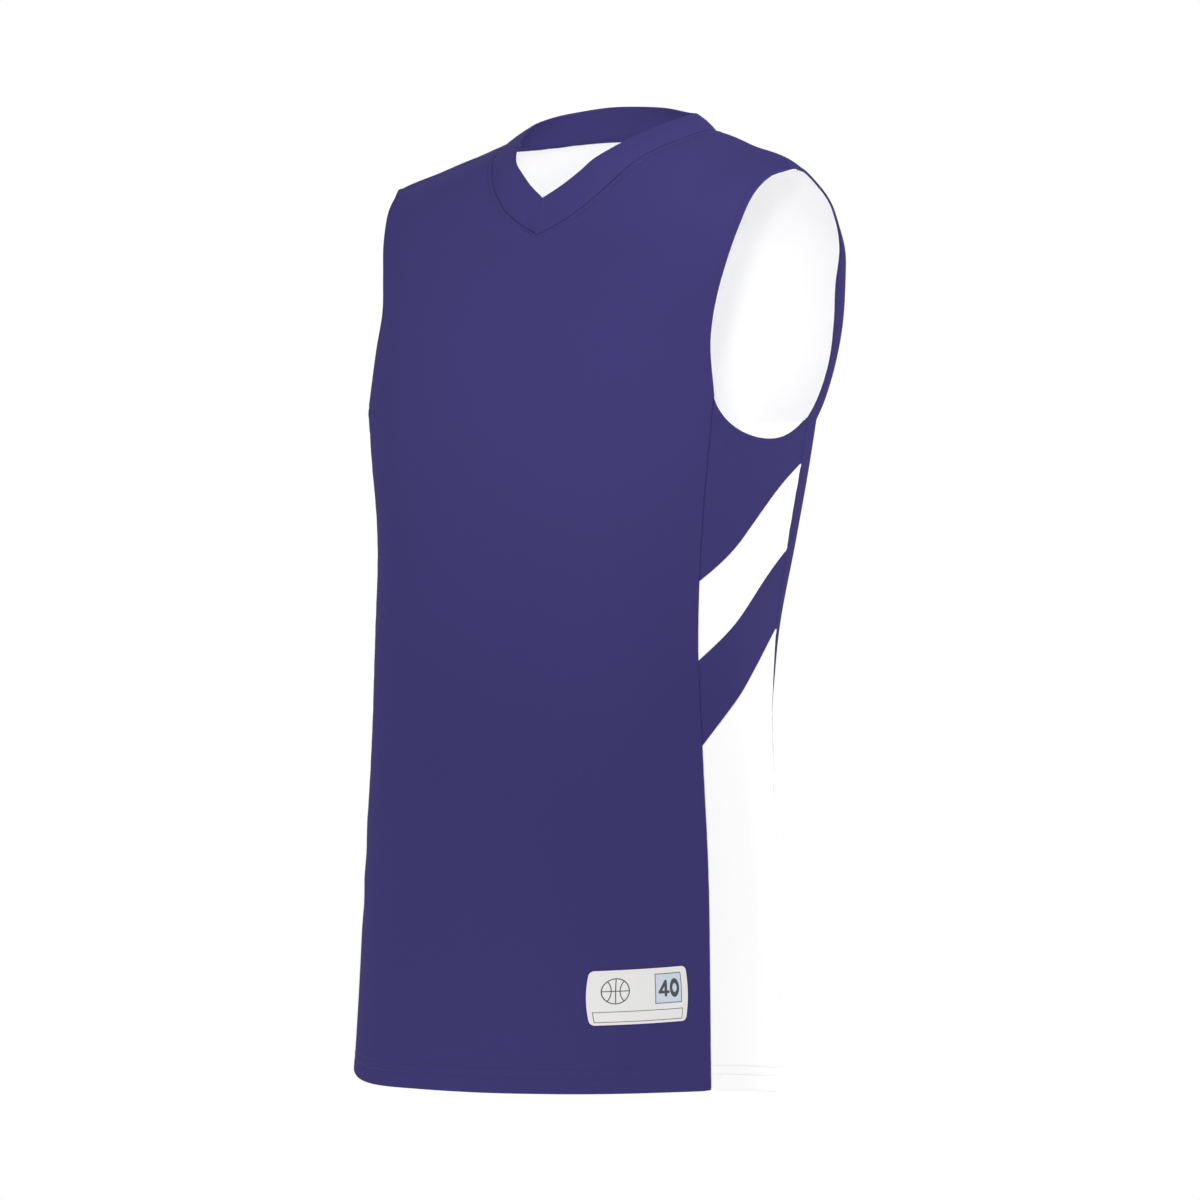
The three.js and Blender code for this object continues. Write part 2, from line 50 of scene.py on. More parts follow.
Array = np.ndarray

# Sizes of the cloth in millimetres, the same as the solids'
CLOTH = 1.5
BAND_CLOTH = 2.2
BAND_ROLL = 1.2
SIDE_FLARE = 22.0
SIDE_FLARE_START = -400.0
SIDE_FULNESS = 0.37
AROUND_SPAN = 150.0
BACK_CENTRE = 3.0


def table(columns: str, rows: Sequence[Sequence[float]]) -> dict[str, Array]:
    """Turns rows of numbers into one array for each named column.

    Args:
        columns: the names of the columns, parted by spaces.
        rows: the rows of the table.

    Returns:
        The arrays by name.
    """
    values = np.array(rows, float)
    return {name: values[:, i] for i, name in enumerate(columns.split())}


# The general figure: half a section in each row, from the front hem over the shoulder to the back hem
FIGURE_LEVELS = (
    "front hem,front thigh,front hip,front belly,front waist,front ribs,front chest,front armpit,low chest,"
    "mid chest,high chest,V point,collarbone,neck front,neck side,shoulder,behind shoulder,back neck,back yoke,"
    "upper blade,blade,lower blade,back ribs,back hollow,back armpit,back chest,back waistline,back waist,"
    "back belly,back hip,back thigh,back hem"
).split(",")
FIGURE = table(
    "centreY centreZ edgeX edgeY edgeZ turn drop innerFull outerFull",
    [
        [-176, -721.5, 160, -101, -719, 62, 0, 98, 45],
        [-172, -650, 157.5, -98, -650, 61, 0, 96, 43],
        [-166, -560, 154.5, -95.5, -560, 60, 0, 93, 41],
        [-159, -470, 149, -94.5, -470, 59, 0, 90, 39],
        [-154, -390, 145.5, -95, -390, 59, 0, 88, 38],
        [-149, -310, 146, -91, -310, 56, 0, 88, 37],
        [-143, -250, 151, -90, -250, 52, 0, 89, 36],
        [-136, -207, 155, -88, -207, 50, 0, 90, 35],
        [-127, -165, 150.5, -86, -163, 47, 0, 88, 33],
        [-118, -134, 150.5, -78, -133, 43, 1, 88, 33],
        [-106, -106, 155, -71, -105, 39, 2, 88, 34],
        [-90, -80, 160.5, -63, -79, 33, 4, 86, 36],
        [-80, -56, 165, -52, -56, 24, 8, 80, 40],
        [-57, -22, 170, -34, -39, 8, 14, 74, 46],
        [-18, 3, 177, -20, -33, -8, 18, 70, 52],
        [28, 15, 182, -8, -30, -18, 25, 68, 56],
        [50, 12, 176.5, 16, -34, -28, 29, 70, 54],
        [66, 8, 177, 42, -48, -44, 23, 76, 50],
        [89, -20, 171.3, 69.5, -66, -63, 13, 84, 50],
        [112, -60, 164.6, 87.5, -88, -80, 6, 92, 59],
        [127, -104, 159, 91, -114, -86, 2, 98, 65],
        [131, -142, 157.5, 91, -143, -84, 0, 100, 62],
        [128, -180, 158.5, 81, -174, -80, 0, 103, 56],
        [122, -205, 166, 48, -205, -80, 0, 108, 56],
        [117, -219, 172, 23, -219, -82, 0, 110, 56],
        [104, -258, 168.5, 17, -258, -82, 0, 108, 57],
        [90, -310, 160, 14, -310, -82, 0, 102, 56],
        [76, -390, 150, 11, -390, -72, 0, 94, 46],
        [74, -470, 151, 6, -470, -62, 0, 94, 44],
        [73, -562, 155, 3, -562, -58, 0, 97, 45],
        [69, -654, 158, 2, -655, -57, 0, 99, 45],
        [66, -728, 160, 0, -727, -57, 0, 100, 45],
    ],
)

# The neckline from the V point to the centre of the back, the fold of the band above it, and how far the
# fold sinks on the wearer's left
NECKLINE = table(
    "seamX seamY foldX foldY foldZ tilt",
    [
        [0, -90, 0, -83, -51.3, 0],
        [30, -83.1, 14, -77, -41.5, 0],
        [43.5, -76.4, 26, -71, -31, 0],
        [54.5, -67.6, 35, -66, -22, 0],
        [65, -53, 43, -54, -13.5, 0],
        [75, -34, 53.5, -34, -3.3, -1],
        [85, -6, 65.5, -4, 9, -1.2],
        [88, 20, 71, 18, 16.5, 0],
        [80, 43, 65, 37, 21.5, 2],
        [60, 57, 50, 50, 25, 2.8],
        [30, 64, 26, 57, 29, 1.6],
        [0, 66, 0, 59, 30, 0],
    ],
)
SHOULDER_PLACE = 7
CENTRE_BACK_PLACE = 11

ARMHOLE_BOTTOM = table("across height", [[0, -207], [0.1, -241], [0.54, -247], [1, -219]])

# The joins between the colour blocks of the side panel: heights in front and at the back, bow and wave
STRIPE_JOINS = {
    "upper_top": (-343.0, -253.0, 3.0, 4.2),
    "upper_bottom": (-402.0, -319.0, 2.5, 2.2),
    "lower_bottom": (-465.0, -378.0, 7.0, 0.6),
}

# The largest soft folds, which the solids have too, and after them the hollows of the shoulders and the finer
# creases of the cloth alone
FOLDS = table(
    "side around height tilt length width depth",
    [
        [-1, 1.02, -222, 90, 42, 40, 1.2],
        [-1, 0.62, -545, 8, 62, 13, -1.6],
        [-1, 0.55, -585, 4, 70, 14, -1.8],
        [1, 0.35, -480, -70, 150, 34, -2.2],
        [-1, 0.3, -420, 76, 170, 38, -2.0],
        [1, 1.45, -560, -84, 130, 20, 2.6],
        [-1, 1.5, -540, 84, 140, 21, 3.0],
        [1, 2.5, -430, 12, 80, 20, -2.4],
        [-1, 2.45, -470, -14, 90, 22, -2.6],
        [1, 2.6, -600, -72, 120, 30, 2.4],
        [-1, 2.7, -610, 75, 110, 30, 2.2],
        [-1, 0.8, -5, 0, 39, 60, -4.0],
        [-1, 2.2, -5, 0, 39, 60, -4.0],
        [-1, 0.5, -28, 119, 34, 11, -1.5],
        [1, 0.67, 0, 0, 20, 60, -2.8],
        [1, 2.33, 0, 0, 20, 60, -2.8],
        [-1, 0.3, -416, 6, 26, 6, -0.7],
        [-1, 0.27, -441, 2, 30, 6, -0.8],
        [-1, 0.31, -463, -4, 24, 6, -0.6],
        [1, 1.09, -234, -50, 24, 3.6, -1.8],
        [-1, 1.1, -236, 50, 20, 4.5, -1.2],
    ],
)

# How much lower than level the front hem hangs, how far up that reaches, and how far below level it may be sought
HEM_DIP = table(
    "around dip",
    [[-1.7, 0], [-1.4, -0.5], [-1, -0.8], [-0.8, 1.4], [-0.5, 3.4], [-0.2, 2.0], [0, 1.2], [0.2, 0.2], [0.4, -0.3],
     [0.65, -0.5], [1, 0], [1.2, 0]],
)
HEM_DIP_REACH = 80.0
HEM_SLACK = 8.0

LABEL_CORNERS = table("across height", [[0.393, -670.3], [0.847, -667.3], [0.389, -631], [0.843, -627]])
LABEL_BOW = 0.014


class Track:
    """A smooth curve through values at uneven stations, with corners where it is told to have them."""

    def __init__(self, stations: Array, values: Array, corners: Sequence[int] = ()) -> None:
        """Works out the slope at either end of each span.

        Args:
            stations: where the values stand.
            values: a number or a point for each station.
            corners: the stations where the slope may jump.
        """
        self.stations = np.asarray(stations, float)
        self.values = np.asarray(values, float)
        step = np.diff(self.stations)
        shape = (-1,) + (1,) * (self.values.ndim - 1)
        step = step.reshape(shape)
        slope = np.diff(self.values, axis=0) / step
        self.leaving = slope.copy()
        self.arriving = slope.copy()
        for i in range(1, len(self.stations) - 1):
            if i not in corners:
                smooth = (step[i] * slope[i - 1] + step[i - 1] * slope[i]) / (step[i - 1] + step[i])
                self.leaving[i] = smooth
                self.arriving[i - 1] = smooth

    def at(self, station: Array) -> Array:
        """The value at each station, as an array."""
        station = np.asarray(station, float)
        i = np.clip(np.searchsorted(self.stations, station, side="left") - 1, 0, len(self.stations) - 2)
        width = self.stations[i + 1] - self.stations[i]
        t = (station - self.stations[i]) / width
        if self.values.ndim > 1:
            t, width = t[..., None], width[..., None]
        t2, t3 = t * t, t * t * t
        return (
            (2 * t3 - 3 * t2 + 1) * self.values[i]
            + (t3 - 2 * t2 + t) * width * self.leaving[i]
            + (3 * t2 - 2 * t3) * self.values[i + 1]
            + (t3 - t2) * width * self.arriving[i]
        )


def unit(v: Array) -> Array:
    """The vectors brought to length one."""
    return v / np.maximum(np.linalg.norm(v, axis=-1, keepdims=True), 1e-12)


def bezier(ends: Sequence[Array], t: Array) -> Array:
    """The points of a cubic curve with the four control points at t."""
    r = 1 - t
    return ends[0] * r**3 + 3 * ends[1] * r * r * t + 3 * ends[2] * r * t * t + ends[3] * t**3


def smoothstep(x: Array, low: float, high: float) -> Array:
    """A soft step from 0 at low to 1 at high."""
    t = np.clip((x - low) / (high - low), 0, 1)
    return t * t * (3 - 2 * t)


def normals_of(surface: Callable[[Array, Array], Array], a: Array, b: Array, small: float = 1e-3) -> Array:
    """The unit normals of a surface of a, which runs from 0 to 1, and b, in millimetres."""
    along_a = surface(a + small, b) - surface(a - small, b)
    along_b = surface(a, b + 1) - surface(a, b - 1)
    return unit(np.cross(along_a, along_b))


class Figure:
    """The general figure that the cloth is cut for, with its soft folds."""

    def __init__(self) -> None:
        """Makes the rails through the control points of the sections."""
        f = FIGURE
        zero = np.zeros(len(f["turn"]))
        centre = np.stack([zero, f["centreY"], f["centreZ"]], -1)
        edge = np.stack([f["edgeX"], f["edgeY"], f["edgeZ"]], -1)
        turn, drop = np.radians(f["turn"]), np.radians(f["drop"])
        outward = np.stack([np.cos(turn) * np.cos(drop), np.sin(turn) * np.cos(drop), -np.sin(drop)], -1)
        inner = centre + np.stack([f["innerFull"], zero, zero], -1)
        controls = [centre, inner, edge - outward * f["outerFull"][:, None], edge]
        mean = (np.linalg.norm(np.diff(centre, axis=0), axis=1) + np.linalg.norm(np.diff(edge, axis=0), axis=1)) / 2
        stations = np.concatenate([[0.0], np.cumsum(mean)])
        armpits = [FIGURE_LEVELS.index("front armpit"), FIGURE_LEVELS.index("back armpit")]
        self.rails = [
            Track(stations, points, corners) for points, corners in zip(controls, ([], [], armpits, armpits))
        ]
        self.station = dict(zip(FIGURE_LEVELS, stations))
        self.front_hem, self.front_armpit = self.station["front hem"], self.station["front armpit"]
        self.back_hem, self.back_armpit = self.station["back hem"], self.station["back armpit"]
        self.edge_height = {name: float(self.rails[3].at(s)[2]) for name, s in self.station.items()}

    def point(self, across: Array, station: Array) -> Array:
        """The bare points, across from 0 at the centre to 1 at the seam or armhole."""
        return bezier([rail.at(station) for rail in self.rails], np.asarray(across)[..., None])

    def folded(self, side: int) -> Callable[[Array, Array], Array]:
        """The surface with the folds of one side of the body."""

        def surface(across: Array, station: Array) -> Array:
            p = self.point(across, station)
            around = np.where(station <= self.station["shoulder"], across, BACK_CENTRE - across)
            depth = fold_depth(side, around, p[..., 2])
            return p + normals_of(self.point, across, station) * depth[..., None]

        return surface

    def station_at(self, height: Array, lowest: float, highest: float) -> Array:
        """The stations between two others at which the outer edge has the given heights."""
        low = np.full(np.shape(height), lowest, float)
        high = np.full(np.shape(height), highest, float)
        for _ in range(40):
            middle = (low + high) / 2
            below = self.rails[3].at(middle)[..., 2] < height
            low, high = np.where(below, middle, low), np.where(below, high, middle)
        return (low + high) / 2

    def from_above(self, x: Array, y: Array, across: Array, station: Array) -> tuple[Array, Array]:
        """The places, across and station, that lie at x and y as seen from above, sought from a guess."""
        small = 1e-4
        for _ in range(7):
            here = self.point(across, station)
            by_a = (self.point(across + small, station) - here) / small
            by_s = (self.point(across, station + small) - here) / small
            area = by_a[..., 0] * by_s[..., 1] - by_a[..., 1] * by_s[..., 0]
            miss_x, miss_y = x - here[..., 0], y - here[..., 1]
            across = across + (miss_x * by_s[..., 1] - miss_y * by_s[..., 0]) / area
            station = station + (miss_y * by_a[..., 0] - miss_x * by_a[..., 1]) / area
        return across, station

    def side_point(self, across: Array, up: Array) -> Array:
        """The bare points of the side panel, across from the front seam and up from the hem."""
        z = self.edge_height
        height = z["front hem"] + (z["front armpit"] - z["front hem"]) * up
        behind = z["back hem"] + (z["back armpit"] - z["back hem"]) * up
        front_station = self.station_at(height, self.front_hem - HEM_SLACK, self.front_armpit)
        back_station = self.station_at(behind, self.back_hem + HEM_SLACK, self.back_armpit)
        front, back = self.rails[3].at(front_station), self.rails[3].at(back_station)
        flare = -np.radians(SIDE_FLARE * smoothstep(-height, -SIDE_FLARE_START, -z["front hem"]))
        leaving = unit(front - self.rails[2].at(front_station))
        cos, sin = np.cos(flare), np.sin(flare)
        leaving = np.stack(
            [
                leaving[..., 0] * cos - leaving[..., 1] * sin,
                leaving[..., 0] * sin + leaving[..., 1] * cos,
                leaving[..., 2],
            ],
            -1,
        )
        arriving = unit(back - self.rails[2].at(back_station))
        reach = np.linalg.norm(front - back, axis=-1, keepdims=True) * SIDE_FULNESS
        ends = [front, front + leaving * reach, back + arriving * reach, back]
        return bezier(ends, np.asarray(across)[..., None])

    def side_folded(self, side: int) -> Callable[[Array, Array], Array]:
        """The side panel's surface of across and of millimetres up, with the folds of one side."""
        steps = self.edge_height["front armpit"] - self.edge_height["front hem"]

        def bare(across: Array, rise: Array) -> Array:
            return self.side_point(across, rise / steps)

        def surface(across: Array, rise: Array) -> Array:
            p = bare(across, rise)
            depth = fold_depth(side, 1 + across, p[..., 2])
            return p + normals_of(bare, across, rise) * depth[..., None]

        return surface


def fold_depth(side: int, around: Array, height: Array) -> Array:
    """How far the folds move the cloth out at places round the body.

    Args:
        side: 1 on the wearer's left and -1 on the right.
        around: steps from the centre of the front, 0, to the centre of the back, 3.
        height: heights in millimetres.

    Returns:
        The depths in millimetres.
    """
    depth = np.zeros(np.broadcast(around, height).shape)
    for i in range(len(FOLDS["side"])):
        fold = {name: column[i] for name, column in FOLDS.items()}
        steps = side * around - fold["side"] * fold["around"]
        steps = np.where(np.abs(steps) > BACK_CENTRE, steps - np.sign(steps) * 2 * BACK_CENTRE, steps)
        over, up = steps * AROUND_SPAN, height - fold["height"]
        tilt = math.radians(fold["tilt"])
        along = over * math.cos(tilt) + up * math.sin(tilt)
        aside = up * math.cos(tilt) - over * math.sin(tilt)
        depth += fold["depth"] * np.exp(-((along / fold["length"]) ** 2) - (aside / fold["width"]) ** 2)
    return depth


def hem_dip(side: int, around: Array) -> Array:
    """How much lower than level the front hem hangs at places round one side, in millimetres."""
    ends = HEM_DIP["around"][0], HEM_DIP["around"][-1]
    return Track(HEM_DIP["around"], HEM_DIP["dip"]).at(np.clip(side * np.asarray(around), *ends))


class Layer(Enum):
    """The two faces of a piece of cloth."""

    OUTER = 0
    INNER = 1


class Edge(Enum):
    """How an edge of a piece is finished: for each face, how far in its points lie and how high they stand."""

    SEWN = (
        ((0, 0, 0.04, 0.2, 0.5, 1.1, 2.0, 3.0, 3.9, 6.5), (-3.2, -1.2, -0.4, -0.2, -0.02, 0.14, 0.2, 0.17, -0.03, 0)),
        ((0.7, 0.7, 0.8, 1.1, 1.5, 2.0, 2.8, 4.2, 6.4, 9.0), (-1.7, -0.9, -0.45, -0.15, 0, 0, 0, 0, 0, 0)),
    )
    TURNED = (
        (
            (0, 0.35, 0.9, 1.8, 2.8, 3.5, 4.1, 4.8, 6.2, 9.0),
            (-0.3, 0.08, 0.26, 0.32, 0.28, 0.12, -0.16, -0.04, 0.02, 0),
        ),
        ((0, 0.4, 0.9, 1.6, 2.4, 3.2, 4.2, 5.4, 7.0, 9.0), (0.25, 0, -0.15, -0.2, -0.2, -0.15, -0.1, -0.05, 0, 0)),
    )
    BUTTED = (
        ((0, 0.1, 0.25, 0.5, 0.9, 1.5, 2.4, 3.6, 6.0, 9.0), (-0.6, -0.22, -0.1, 0, 0.03, 0.05, 0.05, 0.04, 0.02, 0)),
        ((0, 0.1, 0.25, 0.5, 0.9, 1.5, 2.4, 3.6, 6.0, 9.0), (0, 0, 0, 0, 0, 0, 0, 0, 0, 0)),
    )
    TOPSTITCHED = (
        (
            (0, 0.1, 0.3, 0.7, 1.6, 2.8, 3.9, 4.5, 5.1, 7.2),
            (-0.6, -0.22, -0.08, 0.04, 0.18, 0.2, 0.04, -0.22, 0.03, 0),
        ),
        ((0, 0.1, 0.3, 0.7, 1.6, 2.8, 3.9, 4.5, 5.1, 7.2), (0, 0, 0, 0, 0, 0, 0, 0, 0, 0)),
    )
    HEMMED = (
        (
            (0, 0.4, 0.9, 1.6, 3.0, 5.0, 7.5, 9.6, 10.7, 11.5, 12.3, 13.4, 14.8, 16.1, 17.2, 18.0, 18.8, 19.9, 22, 25),
            (-0.25, 0.05, 0.22, 0.3, 0.32, 0.32, 0.3, 0.24, 0.05, -0.16, 0.03, 0.16, 0.2, 0.14, 0, -0.2, -0.04, 0.02,
             0.01, 0),
        ),
        (
            (0, 0.4, 0.9, 1.6, 3.0, 5.0, 7.5, 9.6, 10.7, 11.5, 12.3, 13.4, 14.8, 16.1, 17.2, 18.0, 18.8, 19.9, 22, 25),
            (0.25, 0, -0.15, -0.3, -0.35, -0.35, -0.35, -0.3, -0.2, -0.1, -0.2, -0.3, -0.3, -0.3, -0.2, 0, 0, 0, 0, 0),
        ),
    )

    def distances(self, layer: Layer) -> Array:
        """How far in from the edge the points of a face lie."""
        return np.array(self.value[layer.value][0], float)

    def heights(self, layer: Layer) -> Array:
        """How high the points of a face stand over it."""
        return np.array(self.value[layer.value][1], float)

    @property
    def points(self) -> int:
        """How many points a face has near the edge."""
        return len(self.value[0][0])


EDGE_POINTS = 10
FIN_DEPTH = -3.2
HEM_ROWS = (11.5, 18.0)
SEWING_SAMPLES = 120
FAR_FROM_SEAMS = 99.0
PUCKER_HEIGHT = 0.07
RIPPLE_HEIGHT = 0.13

# How high the middle of the thread lies over the cloth on the hems, at the neck and on the label
HEM_THREAD = -0.02
NECK_THREAD = 0.12
LABEL_THREAD = 0.52
NECK_ROW = 4.5


def pucker(points: Array, distance: Array) -> Array:
    """How much a sewn seam ruffles its cloth up or down at points, at distances from the seam."""
    phase = 0.9 * points[..., 2] + 0.5 * points[..., 0] - 0.6 * points[..., 1]
    wave = np.sin(phase / 2.1) + 0.8 * np.sin(phase / 3.4 + 1.0) + 0.7 * np.sin(phase / 7.7 + 2.0)
    return PUCKER_HEIGHT * wave * np.exp(-((distance / 5.5) ** 2))


def hem_ripple(points: Array, distance: Array) -> Array:
    """How much the hem's sewing ruffles its cloth up or down at points, at distances from its edge."""
    phase = points[..., 0] - 1.3 * points[..., 1]
    wave = np.sin(phase / 1.9) + 0.8 * np.sin(phase / 3.3 + 1.0) + 0.6 * np.sin(phase / 7.1 + 2.0)
    return RIPPLE_HEIGHT * wave * (1 - smoothstep(distance, 6, 24))


@dataclass
class Cloth:
    """A grid of one face of a piece: its points, their knit coordinates and their distances from a seam."""

    points: Array
    uv: Array
    sew: Array


@dataclass
class PieceMesh:
    """Gathers the grids of a piece of cloth into one closed mesh."""

    name: str
    points: list[Array] = field(default_factory=list)
    uvs: list[Array] = field(default_factory=list)
    sews: list[Array] = field(default_factory=list)
    faces: list[Array] = field(default_factory=list)
    slots: list[Array] = field(default_factory=list)
    count: int = 0

    def add(self, points: Array, uv: Array, sew: Array) -> Array:
        """Adds vertices and returns their numbers in the grid's shape."""
        shape = points.shape[:-1]
        numbers = np.arange(self.count, self.count + int(np.prod(shape))).reshape(shape)
        self.points.append(points.reshape(-1, 3))
        self.uvs.append(uv.reshape(-1, 2))
        self.sews.append(sew.reshape(-1))
        self.count += numbers.size
        return numbers

    def quads(self, numbers: Array, slot: int) -> None:
        """Adds the quads between neighbours in a grid of vertex numbers."""
        quad = np.stack([numbers[:-1, :-1], numbers[:-1, 1:], numbers[1:, 1:], numbers[1:, :-1]], -1).reshape(-1, 4)
        self.faces.append(quad)
        self.slots.append(np.full(len(quad), slot))

    def shell(self, outer: Cloth, inner: Cloth, rim: Sequence[tuple[int, int]], turned: Array, side: int) -> None:
        """Adds both faces of a half and the rim that joins them.

        Args:
            outer: the outer face.
            inner: the inner face, of the same shape.
            rim: the rows and columns of the edge points in order.
            turned: how round the rim is at each of them, from 0, flat, to 1.
            side: 1 as drawn, or -1 for its mirror.
        """
        mirror = np.array([side, 1, 1], float)
        numbers = []
        for slot, cloth in enumerate((outer, inner)):
            numbers.append(self.add(cloth.points * mirror, cloth.uv * np.array([side, 1.0]), cloth.sew))
            self.quads(numbers[slot], slot)
        rows, columns = np.array(rim).T
        last_row, last_column = outer.points.shape[0] - 1, outer.points.shape[1] - 1
        away = np.zeros((len(rows), 3))
        for on_edge, step in (
            (rows == 0, (1, 0)),
            (rows == last_row, (-1, 0)),
            (columns == 0, (0, 1)),
            (columns == last_column, (0, -1)),
        ):
            r, c = np.clip(rows + step[0], 0, last_row), np.clip(columns + step[1], 0, last_column)
            away += unit(outer.points[rows, columns] - outer.points[r, c]) * on_edge[:, None]
        start, end = outer.points[rows, columns], inner.points[rows, columns]
        away[np.abs(start[:, 0]) < 1e-6, 0] = 0
        middle, half = (start + end) / 2, (start - end) / 2
        away = unit(away - unit(half) * (away * unit(half)).sum(-1, keepdims=True))
        radius = np.linalg.norm(half, axis=1, keepdims=True)
        loops = [numbers[0][rows, columns]]
        for angle in (45, 90, 135):
            c, s = math.cos(math.radians(angle)), math.sin(math.radians(angle))
            points = middle + half * c + away * radius * s * turned[:, None] * 0.8
            uv = outer.uv[rows, columns] * np.array([side, 1.0])
            loops.append(self.add(points * mirror, uv, outer.sew[rows, columns]))
        loops.append(numbers[1][rows, columns])
        band = np.array(loops)
        self.quads(band[:4], 0)
        self.quads(band[3:], 1)

    def build(self, materials: Sequence[bpy.types.Material], weld: float = 1e-5) -> bpy.types.Object:
        """Makes the object, with its doubles merged and its UV map in millimetres of cloth.

        Args:
            materials: the materials of the faces' slots.
            weld: how close two vertices have to be, in metres, to be merged.

        Returns:
            The object, linked to the scene.
        """
        points = np.concatenate(self.points) * MM
        uvs, sews = np.concatenate(self.uvs), np.concatenate(self.sews)
        faces, slots = np.concatenate(self.faces), np.concatenate(self.slots)
        mesh = bpy.data.meshes.new(self.name)
        mesh.from_pydata(points.tolist(), [], faces.tolist())
        layer = mesh.uv_layers.new(name="knit")
        corners = np.zeros(len(mesh.loops), np.int32)
        mesh.loops.foreach_get("vertex_index", corners)
        layer.data.foreach_set("uv", uvs[corners].astype(np.float32).ravel())
        sew = mesh.attributes.new("sew", "FLOAT", "POINT")
        sew.data.foreach_set("value", sews.astype(np.float32))
        for material in materials:
            mesh.materials.append(material)
        mesh.polygons.foreach_set("material_index", slots.astype(np.int32))
        mesh.polygons.foreach_set("use_smooth", np.ones(len(faces), bool))
        work = bmesh.new()
        work.from_mesh(mesh)
        bmesh.ops.remove_doubles(work, verts=work.verts, dist=weld)
        bmesh.ops.dissolve_degenerate(work, edges=work.edges, dist=1e-7)
        bmesh.ops.recalc_face_normals(work, faces=work.faces)
        work.to_mesh(mesh)
        work.free()
        mesh.update()
        obj = bpy.data.objects.new(self.name, mesh)
        bpy.context.scene.collection.objects.link(obj)
        return obj


def perimeter(last_row: int, last_column: int) -> list[tuple[int, int]]:
    """The edge points of a grid, anticlockwise from its first one and back to it."""
    bottom = [(0, j) for j in range(last_column)]
    right = [(i, last_column) for i in range(last_row)]
    top = [(last_row, j) for j in range(last_column, 0, -1)]
    left = [(i, 0) for i in range(last_row, -1, -1)]
    return bottom + right + top + left


def spread(length: Array, start: Array, end: Array, middle: int) -> Array:
    """Places along lines of given lengths: near either end at stated distances, and evenly between.

    Args:
        length: the length of each line.
        start: the distances from the first end, a row for each line.
        end: the distances from the last end, a row for each line.
        middle: how many places lie between them.

    Returns:
        A row of distances from the first end for each line.
    """
    low, high = start[:, -1:], length[:, None] - end[:, -1:]
    steps = np.arange(1, middle + 1)[None] / (middle + 1)
    return np.concatenate([start, low + (high - low) * steps, length[:, None] - end[:, ::-1]], 1)


def invert(table_x: Array, table_y: Array, y: Array) -> Array:
    """For each row, the x at which its rising y is reached."""
    return np.stack([np.interp(want, have, x) for want, have, x in zip(y, table_y, table_x)])


def lengths(points: Array) -> Array:
    """The length along each row of points, up to each of them."""
    step = np.linalg.norm(np.diff(points, axis=1), axis=-1)
    return np.concatenate([np.zeros((len(points), 1)), np.cumsum(step, 1)], 1)


@dataclass(frozen=True)
class Neckline:
    """The line where the collar band meets the body."""

    figure: Figure

    def tracks(self) -> tuple[Track, Track, Track]:
        """The tracks of the seam seen from above, of the fold and of its tilt, run one place past the back."""
        n = {name: np.append(column, column[-2]) for name, column in NECKLINE.items()}
        for name in ("seamX", "foldX", "tilt"):
            n[name][-1] *= -1
        index = np.arange(len(n["seamX"]))
        return (
            Track(index, np.stack([n["seamX"], n["seamY"]], -1)),
            Track(index, np.stack([n["foldX"], n["foldY"], n["foldZ"]], -1)),
            Track(index, n["tilt"]),
        )

    def places(self, along: Array) -> tuple[Array, Array]:
        """The places on the figure of points along the seam, each sought from the one before."""
        xy = self.tracks()[0].at(along)
        first = along[0] < SHOULDER_PLACE
        level = "V point" if first else "back neck"
        across, station = np.array(0.0), np.array(self.figure.station[level])
        found = []
        for x, y in xy:
            across, station = self.figure.from_above(np.array(x), np.array(y), across, station)
            found.append((float(across), float(station)))
        return np.array(found)[:, 0], np.array(found)[:, 1]


